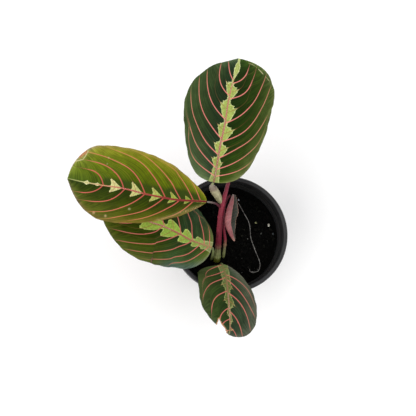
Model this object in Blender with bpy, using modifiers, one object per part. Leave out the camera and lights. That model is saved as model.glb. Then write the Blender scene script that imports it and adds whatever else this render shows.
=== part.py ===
"""Potted prayer plant (maranta) in a black nursery pot.

Metres, +Z up. The origin is the middle of the pot's base, where it stands.
Lengths named below are in millimetres and are turned into metres by mm().
"""
import math

import bmesh
import bpy
import numpy as np

# Pot: a turned shell with a rolled rim, a collar, a ledge and a tapered wall.
POT_HEIGHT = 90.0
RIM_RADIUS = 52.5
RIM_WIDTH = 3.2
RIM_SKIRT = 6.0
RIM_LIP = 1.3
RIM_BEVEL = 0.5
RIM_INNER_WIDTH = 0.6
RIM_INNER_DROP = 0.8
COLLAR_RADIUS = 50.4
COLLAR_DEPTH = 14.0
COLLAR_TAPER = 0.8
LEDGE_WIDTH = 2.4
LEDGE_BEVEL = 0.5
BASE_RADIUS = 37.5
FOOT_FLARE = 0.9
FOOT_HEIGHT = 1.0
WALL = 1.1
BASE_PLATE = 1.3
POT_SIDES = 72

DRAIN_HOLES = 6
DRAIN_RADIUS = 4.0
DRAIN_CIRCLE = 27.0
DRILL_LENGTH = 8.0
DRILL_SIDES = 16

# Soil: fills the pot to just under the ledge. Its top has a broad swell and a slanting ripple.
SOIL_LEVEL = 71.0
SOIL_RINGS = 9
SOIL_SIDES = 48
SWELL_HEIGHT, SWELL_X, SWELL_START, SWELL_Y = 0.5, 0.31, 1.1, 0.27
RIPPLE_HEIGHT, RIPPLE_X, RIPPLE_Y = 0.35, -0.2, 0.5
FLAT_EDGE = 0.1
GAP = 0.3
SOCKET_DEPTH = 12.0

BLADE_THICKNESS = 0.5
ROWS = 26
COLUMNS = 12
MIDRIB_POINTS = 201
WIDTH_SAMPLES = 61
CURVE_STEPS = 24
SHARP_ANGLE = math.radians(40)
MERGE_DISTANCE = 0.00001

# Perlite grains on the soil: (x, y, radius).
GRAINS = [(26, 13, 1.3), (38, 11, 1.9), (31, 3, 1.2), (42, 3, 1.2), (10, 34, 1.4)]
GRAIN_TURN = (math.radians(23), math.radians(40))

# A stem is a list of (x, y, z, radius) stations from its foot to its end. SECTIONS says how many
# cross-sections each tube gets, and SLEEVE_SPAN which stations of the main stem the petioles clear.
MAIN_STEM = [
    (-9.5, -24.5, 60, 2.6), (-10, -21, 72, 3.1), (-10, -17, 77.5, 2.9), (-10, -11, 84, 2.6),
    (-10.4, -3, 94, 2.5), (-10.8, 3.5, 104, 2.5), (-11, 11, 113.5, 2.4), (-11, 17.3, 122, 2.3),
    (-10.6, 22.6, 129, 2.2), (-9.2, 28.6, 136, 1.7), (-7.8, 35.1, 142, 1.5), (-6.6, 41.4, 145, 1.5),
    (-5.5, 48.2, 146.5, 1.4), (-4.4, 55.5, 147.5, 1.1), (-3.2, 63, 148.5, 0.5),
]
SECOND_STEM = [
    (-3.6, -20, 60, 1.3), (-4, -18, 72, 1.4), (-4, -12.5, 80.5, 1.3), (-4, -6, 88.5, 1.3),
    (-5.6, 0.4, 95.5, 1.2), (-7, 7, 103, 1.2), (-8, 14.5, 110, 1.1), (-7.6, 22, 117, 1.0),
    (-5.6, 27.2, 122.4, 0.9), (-3.6, 29.2, 124.2, 0.8),
]
PETIOLES = {
    "petiole_top": [
        (-11.6, 21.6, 126.5, 1.6), (-13.2, 23.4, 130, 2.4), (-15.8, 26.4, 135, 3.0),
        (-18.8, 29.4, 140.2, 3.3), (-21, 31.6, 144.4, 2.9), (-21.8, 33, 147, 1.6),
        (-21.5, 34, 148.3, 1.1), (-20.8, 35.1, 149.2, 1.0),
    ],
    "petiole_left_upper": [
        (-12, 18.2, 124.5, 1.0), (-14.2, 19.2, 128.5, 1.0), (-17, 19.8, 134.5, 0.9),
        (-20.4, 19.6, 140.5, 0.8), (-24, 19.4, 144.6, 0.8), (-25.9, 19.4, 145.4, 0.8),
    ],
    "petiole_left_lower": [
        (-15, -22, 60, 1.3), (-14.8, -20.6, 72, 1.4), (-15, -18.6, 84, 1.2),
        (-15.6, -16.6, 95, 1.1), (-16.6, -14.8, 101, 1.0), (-17.4, -13.9, 103.2, 1.0),
    ],
    "petiole_front": [
        (-6.4, -27.6, 60, 1.3), (-6.6, -26.6, 72, 1.4), (-6.8, -26.2, 79, 1.2),
        (-6.9, -26.6, 85, 1.1), (-6.8, -27.2, 88.2, 1.0),
    ],
}
SECTIONS = {"main_stem": 30, "second_stem": 22, "petiole_top": 20, "petiole_left_upper": 12,
            "petiole_left_lower": 12, "petiole_front": 10, "socket": 8, "stem_sleeve": 20,
            "dry_fibre": 30}
SLEEVE_SPAN = slice(5, 12)
DRY_FIBRE = [
    (10, 31, 73.4), (15, 22, 73.2), (20, 12, 73.2), (21.4, -1, 73.2), (25, -12, 73.2),
    (29, -22, 73.2), (29.4, -28, 73.4), (27, -32, 73.4), (21, -32.4, 73.4), (19.6, -29.6, 74.4),
]
FIBRE_RADIUS = 0.28

# A blade is spread along its midrib. Each side's half-width is a short sine series
# over the leaf, which gives round ends; "rise" tilts the side up from the midrib in
# degrees, "arch" bends its margin down again, "ear" sweeps the base of that side
# back past the petiole. "slant" leans the rows near the tip, the left side forward, and "end" stops
# the blade at that share of the midrib.
BLADES = {
    "leaf_top": {
        "midrib": [(-20.6, 35.3, 150), (-18.4, 48, 153), (-15.6, 66.4, 157), (-12, 83.8, 159),
                   (-8.6, 105, 158), (-4.2, 122.6, 155), (-0.4, 134.8, 152), (2, 144.4, 148)],
        "left": {"widths": (33.6, 1.5, -2.9, 2.6), "rise": 8, "ear": 10},
        "right": {"widths": (40, -3.5, 3.3, 0), "rise": 6, "ear": 1},
        "arch": 0.10,
    },
    "leaf_left_upper": {
        "midrib": [(-26.2, 19.6, 146), (-49.6, 19.5, 152), (-61, 20.6, 154.5), (-77.4, 23.4, 156),
                   (-95.6, 27.9, 155), (-112.8, 31, 151), (-130.4, 35.3, 143), (-142.6, 39.2, 136)],
        "left": {"widths": (24.3, -3.9, -4, 1.9, -0.9), "rise": 3, "ear": 0},
        "right": {"widths": (35, -6, 1.1, -1.7), "rise": 11, "ear": 6},
        "arch": 0.10,
    },
    "leaf_left_lower": {
        "midrib": [(-17.6, -14, 104), (-35.5, -8.7, 109), (-46.2, -3.5, 112), (-61, 2.8, 115),
                   (-70.7, 5.6, 116), (-94, 13.9, 114), (-113, 19, 109)],
        "left": {"widths": (33.7, 0, -0.9, 0.3), "rise": 7, "ear": 7},
        "right": {"widths": (27, 4.2, -1, 0.5), "rise": 7, "ear": 1},
        "arch": 0.10,
    },
    "leaf_front": {
        "midrib": [(-6.8, -27.4, 89), (-4.2, -39.2, 95), (-3, -51.8, 98), (-1.6, -66.4, 97),
                   (-0.4, -78.4, 91.5), (0.4, -86, 82), (0.6, -89.5, 70), (0.6, -90.6, 60)],
        "left": {"widths": (16.7, 6.4, -7.5, 1), "rise": 5, "ear": 5},
        "right": {"widths": (21.8, 10.5, -2.7, 3.2), "rise": 5, "ear": 12},
        "arch": 0.14,
        "slant": 1.2,
        "end": 0.86,
    },
}

# The missing piece of the front leaf's margin, seen from above: a slit beside a flap.
TEAR_OUTLINE = [(-10.3, -75.2), (-7.8, -79.4), (-4.6, -82.8), (-1.6, -86.6), (-1.8, -94),
                (-12.2, -86), (-10.9, -79.2)]
TEAR_FLOOR = 60.0
TEAR_TOP = 104.0

# The young blade is a gutter: one half arches over, the other lies open below it.
YOUNG_SPINE = [(-1, 29.5, 126), (-2, 22, 125.5), (-3.6, 14, 122), (-3.6, 5, 116), (-1, -2.2, 110),
               (2.2, -7.4, 104)]
YOUNG_RADIUS = 4.0
YOUNG_END_RADIUS = 0.9
YOUNG_LIP = 1.9
YOUNG_START = math.radians(70)
YOUNG_SWEEP = math.radians(205)
YOUNG_ARC_SHARE = 0.72
YOUNG_SWELL = 0.8
YOUNG_ROWS = 18
YOUNG_COLUMNS = 14


def mm(value):
    return value * 0.001


def new_collection(name):
    made = bpy.data.collections.new(name)
    bpy.context.scene.collection.children.link(made)
    return made


def material(name, colour, roughness):
    made = bpy.data.materials.new(name)
    made.use_nodes = True
    shader = made.node_tree.nodes["Principled BSDF"]
    shader.inputs["Base Color"].default_value = (*colour, 1.0)
    shader.inputs["Roughness"].default_value = roughness
    return made


def add_object(name, data, collection, mat=None):
    made = bpy.data.objects.new(name, data)
    collection.objects.link(made)
    if mat:
        data.materials.append(mat)
    return made


def evaluated_mesh(obj):
    """The object's mesh with its modifiers in it; the object itself is removed."""
    depsgraph = bpy.context.evaluated_depsgraph_get()
    mesh = bpy.data.meshes.new_from_object(obj.evaluated_get(depsgraph))
    bpy.data.objects.remove(obj)
    return mesh


def weld(mesh):
    cage = bmesh.new()
    cage.from_mesh(mesh)
    bmesh.ops.remove_doubles(cage, verts=cage.verts, dist=MERGE_DISTANCE / 10)
    cage.to_mesh(mesh)
    cage.free()
    return mesh


def smooth(mesh):
    mesh.shade_smooth()
    mesh.set_sharp_from_angle(angle=SHARP_ANGLE)
    return mesh


def as_cutter(obj):
    obj.hide_render = True
    obj.display_type = "WIRE"
    return obj


def cut(obj, cutter):
    step = obj.modifiers.new("cut_" + cutter.name, "BOOLEAN")
    step.operation = "DIFFERENCE"
    step.object = cutter
    step.solver = "EXACT"


def smooth_path(stations, count):
    """Evenly spaced points on a Catmull-Rom curve through the stations."""
    knots = np.array(stations, dtype=float)
    knots = np.vstack([2 * knots[0] - knots[1], knots, 2 * knots[-1] - knots[-2]])
    fine = []
    for first in range(len(knots) - 3):
        a, b, c, d = knots[first:first + 4]
        for t in np.linspace(0, 1, CURVE_STEPS, endpoint=False):
            fine.append(0.5 * (2 * b + (c - a) * t + (2 * a - 5 * b + 4 * c - d) * t ** 2
                               + (3 * b - a - 3 * c + d) * t ** 3))
    fine = np.array(fine + [knots[-2]])
    run = np.r_[0, np.cumsum(np.linalg.norm(np.diff(fine[:, :3], axis=0), axis=1))]
    wanted = np.linspace(0, run[-1], count)
    return np.stack([np.interp(wanted, run, fine[:, k]) for k in range(fine.shape[1])], axis=1)


def tube_mesh(name, stations, count, extra=0.0, rings=2):
    """A tube through (x, y, z, radius) stations, with closed ends."""
    curve = bpy.data.curves.new(name, "CURVE")
    curve.dimensions = "3D"
    curve.bevel_depth = 1.0
    curve.bevel_resolution = rings
    curve.use_fill_caps = True
    spline = curve.splines.new("POLY")
    spline.points.add(count - 1)
    for point, (x, y, z, radius) in zip(spline.points, smooth_path(stations, count)):
        point.co = (mm(x), mm(y), mm(z), 1.0)
        point.radius = mm(radius + extra)
    holder = bpy.data.objects.new(name + "_curve", curve)
    bpy.context.scene.collection.objects.link(holder)
    mesh = weld(evaluated_mesh(holder))
    mesh.name = name
    return mesh


def turned_mesh(name, profile, sides):
    """A closed solid turned about Z from a profile of (radius, height) points that ends on Z."""
    mesh = bpy.data.meshes.new(name + "_profile")
    points = [(mm(radius), 0.0, mm(height)) for radius, height in profile]
    mesh.from_pydata(points, [(k, k + 1) for k in range(len(points) - 1)], [])
    holder = bpy.data.objects.new(name + "_profile", mesh)
    bpy.context.scene.collection.objects.link(holder)
    screw = holder.modifiers.new("turn", "SCREW")
    screw.steps = screw.render_steps = sides
    screw.use_merge_vertices = True
    screw.merge_threshold = MERGE_DISTANCE
    screw.use_normal_calculate = True
    turned = weld(evaluated_mesh(holder))
    turned.name = name
    return turned


def inner_wall_radius(height):
    """The pot's inside radius below its ledge."""
    top = COLLAR_RADIUS - WALL - LEDGE_WIDTH
    share = height / (POT_HEIGHT - COLLAR_DEPTH)
    return BASE_RADIUS - WALL + (top - BASE_RADIUS + WALL) * share


def soil_height(x, y):
    """Low lumps of the soil's surface, in millimetres above its level."""
    swell = SWELL_HEIGHT * math.sin(SWELL_X * x + SWELL_START) * math.cos(SWELL_Y * y)
    return swell + RIPPLE_HEIGHT * math.sin(RIPPLE_X * x + RIPPLE_Y * y)


def build_pot(parts, cutters):
    ledge = POT_HEIGHT - COLLAR_DEPTH
    rim_inside = RIM_RADIUS - RIM_WIDTH
    collar_inside = COLLAR_RADIUS - COLLAR_TAPER - WALL
    step_outside = inner_wall_radius(ledge) + WALL
    profile = [
        (RIM_RADIUS - RIM_BEVEL, POT_HEIGHT), (RIM_RADIUS, POT_HEIGHT - RIM_BEVEL),
        (RIM_RADIUS, POT_HEIGHT - RIM_SKIRT), (RIM_RADIUS - RIM_LIP, POT_HEIGHT - RIM_SKIRT),
        (RIM_RADIUS - RIM_LIP, POT_HEIGHT - RIM_LIP), (COLLAR_RADIUS, POT_HEIGHT - RIM_LIP),
        (COLLAR_RADIUS - COLLAR_TAPER, ledge - WALL), (step_outside, ledge - WALL),
        (BASE_RADIUS + FOOT_FLARE, FOOT_HEIGHT), (BASE_RADIUS, 0.0), (0.0, 0.0),
    ]
    inside = [
        (rim_inside, POT_HEIGHT), (rim_inside - RIM_INNER_WIDTH, POT_HEIGHT - RIM_INNER_DROP),
        (collar_inside, ledge + LEDGE_BEVEL), (collar_inside - LEDGE_BEVEL, ledge),
        (inner_wall_radius(ledge), ledge), (inner_wall_radius(BASE_PLATE), BASE_PLATE),
        (0.0, BASE_PLATE),
    ]
    outline = inside[::-1] + profile
    pot = add_object("pot", smooth(turned_mesh("pot", outline, POT_SIDES)), parts,
                     material("black_plastic", (0.022, 0.022, 0.024), 0.42))
    for number in range(DRAIN_HOLES):
        angle = 2 * math.pi * number / DRAIN_HOLES
        cage = bmesh.new()
        bmesh.ops.create_cone(cage, cap_ends=True, segments=DRILL_SIDES,
                              radius1=mm(DRAIN_RADIUS), radius2=mm(DRAIN_RADIUS),
                              depth=mm(DRILL_LENGTH))
        drill = bpy.data.meshes.new(f"drain_drill_{number + 1}")
        cage.to_mesh(drill)
        cage.free()
        hole = as_cutter(add_object(drill.name, drill, cutters))
        hole.location = (mm(DRAIN_CIRCLE) * math.cos(angle), mm(DRAIN_CIRCLE) * math.sin(angle), 0)
        cut(pot, hole)


def build_soil(parts, cutters):
    foot = BASE_PLATE + GAP
    top = SOIL_LEVEL
    edge = inner_wall_radius(top) - GAP
    rings = [(edge * k / SOIL_RINGS, top) for k in range(SOIL_RINGS + 1)]
    outline = rings + [(inner_wall_radius(foot) - GAP, foot), (0.0, foot)]
    mesh = turned_mesh("soil", outline, SOIL_SIDES)
    for vertex in mesh.vertices:
        x, y, z = (value / mm(1) for value in vertex.co)
        if z > top - GAP and math.hypot(x, y) < edge - FLAT_EDGE:
            vertex.co.z += mm(soil_height(x, y))
    soil = add_object("soil", smooth(mesh), parts, material("potting_mix", (0.018, 0.014, 0.012), 0.95))
    rooted = {"main_stem": MAIN_STEM, "second_stem": SECOND_STEM,
              "petiole_left_lower": PETIOLES["petiole_left_lower"],
              "petiole_front": PETIOLES["petiole_front"]}
    for name, stations in rooted.items():
        feet = [station for station in stations if station[2] < SOIL_LEVEL + SOCKET_DEPTH]
        x, y, z, radius = feet[0]
        sunk = [(x, y, z - GAP, radius)] + feet
        tube = tube_mesh("socket_" + name, sunk, SECTIONS["socket"], GAP)
        socket = add_object(tube.name, tube, cutters)
        cut(soil, as_cutter(socket))


def build_stems(parts, cutters):
    main = tube_mesh("main_stem", MAIN_STEM, SECTIONS["main_stem"], rings=3)
    add_object("main_stem", smooth(main), parts, material("wine_stem", (0.30, 0.045, 0.065), 0.45))
    second = tube_mesh("second_stem", SECOND_STEM, SECTIONS["second_stem"])
    add_object("second_stem", smooth(second), parts, material("thin_stem", (0.26, 0.06, 0.07), 0.45))
    sleeve_mesh = tube_mesh("stem_sleeve", MAIN_STEM[SLEEVE_SPAN], SECTIONS["stem_sleeve"], GAP, rings=3)
    sleeve = as_cutter(add_object("stem_sleeve", sleeve_mesh, cutters))
    colours = {"petiole_top": (0.42, 0.42, 0.20), "petiole_left_upper": (0.30, 0.30, 0.20),
               "petiole_left_lower": (0.32, 0.36, 0.17), "petiole_front": (0.32, 0.34, 0.16)}
    for name, colour in colours.items():
        stalk = add_object(name, smooth(tube_mesh(name, PETIOLES[name], SECTIONS[name])), parts,
                           material(name + "_skin", colour, 0.5))
        if name in ("petiole_top", "petiole_left_upper"):
            cut(stalk, sleeve)


def half_width(series, theta):
    return sum(term * math.sin((k + 1) * theta) for k, term in enumerate(series))


def build_blade(name, leaf, mat, parts):
    """A sheet spread over the midrib, thickened into a thin closed solid."""
    path = smooth_path(leaf["midrib"], MIDRIB_POINTS)
    tangents = np.gradient(path, axis=0)
    tangents /= np.linalg.norm(tangents, axis=1)[:, None]
    widest = {side: max(half_width(leaf[side]["widths"], theta)
                        for theta in np.linspace(0, math.pi, WIDTH_SAMPLES))
              for side in ("left", "right")}
    heading = (path[-1] - path[0]) * (1, 1, 0)
    heading /= np.linalg.norm(heading)
    cage = bmesh.new()
    bmesh.ops.create_grid(cage, x_segments=ROWS, y_segments=COLUMNS, size=1.0)
    for vertex in cage.verts:
        station = leaf.get("end", 1.0) * (1 - math.cos(math.pi * (vertex.co.x + 1) / 2)) / 2
        theta = math.acos(1 - 2 * station)
        across = vertex.co.y
        side = "left" if across > 0 else "right"
        shape = leaf[side]
        out = abs(across) * max(half_width(shape["widths"], theta), 0.0)
        row = station * (MIDRIB_POINTS - 1)
        base = min(int(row), MIDRIB_POINTS - 2)
        share = row - base
        middle = path[base] * (1 - share) + path[base + 1] * share
        along = tangents[base] * (1 - share) + tangents[base + 1] * share
        level = np.cross((0, 0, 1), along)
        level /= np.linalg.norm(level)
        above = np.cross(along, level)
        rise = math.radians(shape["rise"])
        lift = out * math.sin(rise) - leaf["arch"] * out ** 2 / widest[side]
        back = shape["ear"] * (out / widest[side]) ** 2 * (1 - station) ** 2
        outward = level * math.copysign(out * math.cos(rise), across)
        lean = heading * math.copysign(out, across) * leaf.get("slant", 0) * station ** 2
        vertex.co = mm(middle + outward + above * lift - along * back + lean)
    bmesh.ops.remove_doubles(cage, verts=cage.verts, dist=MERGE_DISTANCE / 10)
    mesh = bpy.data.meshes.new(name)
    cage.to_mesh(mesh)
    cage.free()
    mesh.shade_smooth()
    blade = add_object(name, mesh, parts, mat)
    thicken(blade)
    return blade


def thicken(blade):
    shell = blade.modifiers.new("thickness", "SOLIDIFY")
    shell.thickness = mm(BLADE_THICKNESS)
    shell.offset = 0.0


def build_young_blade(parts):
    """A half-rolled blade: an arc from its upper margin round to a flat lower lip."""
    spine = smooth_path(YOUNG_SPINE, YOUNG_ROWS + 1)
    tangents = np.gradient(spine, axis=0)
    cage = bmesh.new()
    bmesh.ops.create_grid(cage, x_segments=YOUNG_ROWS, y_segments=YOUNG_COLUMNS, size=1.0)
    for vertex in cage.verts:
        row = round((vertex.co.x + 1) / 2 * YOUNG_ROWS)
        station = row / YOUNG_ROWS
        swell = math.sin(math.pi * station) ** YOUNG_SWELL
        radius = YOUNG_END_RADIUS + (YOUNG_RADIUS - YOUNG_END_RADIUS) * swell
        along = tangents[row] / np.linalg.norm(tangents[row])
        level = np.cross(along, (0, 0, 1))
        level /= np.linalg.norm(level)
        above = np.cross(level, along)
        share = (1 - vertex.co.y) / 2
        if share <= YOUNG_ARC_SHARE:
            angle = YOUNG_START + YOUNG_SWEEP * share / YOUNG_ARC_SHARE
            sideways, upward = math.cos(angle), math.sin(angle)
        else:
            angle = YOUNG_START + YOUNG_SWEEP
            run = YOUNG_LIP * (share - YOUNG_ARC_SHARE) / (1 - YOUNG_ARC_SHARE)
            sideways = math.cos(angle) - run * math.sin(angle)
            upward = math.sin(angle) + run * math.cos(angle)
        offset = level * (-sideways) + above * upward
        vertex.co = mm(spine[row] + offset * radius)
    mesh = bpy.data.meshes.new("leaf_young")
    cage.to_mesh(mesh)
    cage.free()
    mesh.shade_smooth()
    blade = add_object("leaf_young", mesh, parts, material("wine_underside", (0.30, 0.04, 0.07), 0.5))
    thicken(blade)


def build_tear(cutters):
    """An upright prism over the outline of the tear."""
    cage = bmesh.new()
    floor = [cage.verts.new((mm(x), mm(y), mm(TEAR_FLOOR))) for x, y in TEAR_OUTLINE]
    base = cage.faces.new(floor)
    raised = bmesh.ops.extrude_face_region(cage, geom=[base])["geom"]
    tops = [item for item in raised if isinstance(item, bmesh.types.BMVert)]
    bmesh.ops.translate(cage, verts=tops, vec=(0, 0, mm(TEAR_TOP - TEAR_FLOOR)))
    bmesh.ops.recalc_face_normals(cage, faces=cage.faces)
    mesh = bpy.data.meshes.new("tear_prism")
    cage.to_mesh(mesh)
    cage.free()
    return as_cutter(add_object("tear_prism", mesh, cutters))


def build_leaves(parts, cutters):
    colours = {"leaf_top": (0.035, 0.075, 0.012), "leaf_left_upper": (0.11, 0.14, 0.008),
               "leaf_left_lower": (0.04, 0.08, 0.014), "leaf_front": (0.03, 0.06, 0.015)}
    blades = {name: build_blade(name, leaf, material(name + "_green", colours[name], 0.42), parts)
              for name, leaf in BLADES.items()}
    cut(blades["leaf_front"], build_tear(cutters))
    build_young_blade(parts)


def build_litter(parts):
    """The dry fibre and the perlite grains that lie on the soil."""
    stations = [(x, y, z, FIBRE_RADIUS) for x, y, z in DRY_FIBRE]
    add_object("dry_fibre", smooth(tube_mesh("dry_fibre", stations, SECTIONS["dry_fibre"], rings=1)),
               parts, material("dry_fibre", (0.20, 0.19, 0.18), 0.8))
    white = material("perlite", (0.75, 0.74, 0.68), 0.8)
    for number, (x, y, radius) in enumerate(GRAINS, start=1):
        cage = bmesh.new()
        bmesh.ops.create_icosphere(cage, subdivisions=1, radius=mm(radius))
        grain = bpy.data.meshes.new(f"perlite_{number}")
        cage.to_mesh(grain)
        cage.free()
        grain.shade_smooth()
        made = add_object(grain.name, grain, parts, white)
        made.location = (mm(x), mm(y), mm(SOIL_LEVEL + soil_height(x, y) + radius + 2 * GAP))
        made.rotation_euler = (number * GRAIN_TURN[0], number * GRAIN_TURN[1], 0)


def main():
    for obj in list(bpy.data.objects):
        bpy.data.objects.remove(obj)
    parts = new_collection("potted_prayer_plant")
    cutters = new_collection("cutters")
    build_pot(parts, cutters)
    build_soil(parts, cutters)
    build_stems(parts, cutters)
    build_leaves(parts, cutters)
    build_litter(parts)


main()
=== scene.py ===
"""Looks of the potted prayer plant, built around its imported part.

Blender works in metres. Lengths named here are millimetres unless they say otherwise, and MM turns
them into metres. +Z is up, and the pot stands on the origin. Colours are linear.
"""
import math

import bmesh
import bpy
import numpy as np
from mathutils import Matrix, Vector, noise


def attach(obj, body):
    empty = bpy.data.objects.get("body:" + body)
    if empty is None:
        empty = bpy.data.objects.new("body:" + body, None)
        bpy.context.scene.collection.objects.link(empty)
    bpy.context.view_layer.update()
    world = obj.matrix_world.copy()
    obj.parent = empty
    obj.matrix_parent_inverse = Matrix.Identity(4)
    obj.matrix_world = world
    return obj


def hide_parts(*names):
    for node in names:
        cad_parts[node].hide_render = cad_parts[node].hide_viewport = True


MM = 0.001
BODY = "root"

# Pot: a turned shell with a rolled rim, a collar, a ledge and a tapered wall.
POT_HEIGHT = 90.0
RIM_RADIUS = 52.5
RIM_WIDTH = 3.2
RIM_SKIRT = 6.0
RIM_LIP = 1.3
COLLAR_RADIUS = 50.4
COLLAR_DEPTH = 14.0
LEDGE_WIDTH = 2.4
BASE_RADIUS = 37.5
WALL = 1.1
BASE_PLATE = 1.3
POT_SIDES = 192
DRAIN_HOLES = 6
DRAIN_RADIUS = 4.0
DRAIN_CIRCLE = 27.0

SOIL_LEVEL = 71.0
GAP = 0.3
CURVE_STEPS = 24

# Each stalk is a list of (x, y, z, radius) stations from its foot to its end.
STATIONS = {
    "main_stem": [
        (-9.5, -24.5, 60, 2.6), (-10, -21, 72, 3.1), (-10, -17, 77.5, 2.9), (-10, -11, 84, 2.6),
        (-10.4, -3, 94, 2.5), (-10.8, 3.5, 104, 2.5), (-11, 11, 113.5, 2.4), (-11, 17.3, 122, 2.3),
        (-10.6, 22.6, 129, 2.2), (-9.2, 28.6, 136, 1.7), (-7.8, 35.1, 142, 1.5), (-6.6, 41.4, 145, 1.5),
        (-5.5, 48.2, 146.5, 1.4), (-4.4, 55.5, 147.5, 1.1), (-3.2, 63, 148.5, 0.5),
    ],
    "second_stem": [
        (-3.6, -20, 60, 1.3), (-4, -18, 72, 1.4), (-4, -12.5, 80.5, 1.3), (-4, -6, 88.5, 1.3),
        (-5.6, 0.4, 95.5, 1.2), (-7, 7, 103, 1.2), (-8, 14.5, 110, 1.1), (-7.6, 22, 117, 1.0),
        (-5.6, 27.2, 122.4, 0.9), (-3.6, 29.2, 124.2, 0.8),
    ],
    "petiole_top": [
        (-11.6, 21.6, 126.5, 1.6), (-13.2, 23.4, 130, 2.4), (-15.8, 26.4, 135, 3.0),
        (-18.8, 29.4, 140.2, 3.3), (-21, 31.6, 144.4, 2.9), (-21.8, 33, 147, 1.6),
        (-21.5, 34, 148.3, 1.1), (-20.8, 35.1, 149.2, 1.0),
    ],
    "petiole_left_upper": [
        (-12, 18.2, 124.5, 1.0), (-14.2, 19.2, 128.5, 1.0), (-17, 19.8, 134.5, 0.9),
        (-20.4, 19.6, 140.5, 0.8), (-24, 19.4, 144.6, 0.8), (-25.9, 19.4, 145.4, 0.8),
    ],
    "petiole_left_lower": [
        (-15, -22, 60, 1.3), (-14.8, -20.6, 72, 1.4), (-15, -18.6, 84, 1.2),
        (-15.6, -16.6, 95, 1.1), (-16.6, -14.8, 101, 1.0), (-17.4, -13.9, 103.2, 1.0),
    ],
    "petiole_front": [
        (-6.4, -27.6, 60, 1.3), (-6.6, -26.6, 72, 1.4), (-6.8, -26.2, 79, 1.2),
        (-6.9, -26.6, 85, 1.1), (-6.8, -27.2, 88.2, 1.0),
    ],
}
DRY_FIBRE = [
    (10, 31, 73.4), (15, 22, 73.2), (20, 12, 73.2), (21.4, -1, 73.2), (25, -12, 73.2),
    (29, -22, 73.2), (29.4, -28, 73.4), (27, -32, 73.4), (21, -32.4, 73.4), (19.6, -29.6, 74.4),
]
FIBRE_RADIUS = 0.28
GRAINS = [(26, 13, 1.3), (38, 11, 1.9), (31, 3, 1.2), (42, 3, 1.2), (10, 34, 1.4)]
GRAIN_COLOURS = [(0.32, 0.33, 0.15), (0.62, 0.61, 0.52), (0.07, 0.075, 0.065), (0.05, 0.06, 0.065),
                 (0.36, 0.38, 0.42)]

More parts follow.
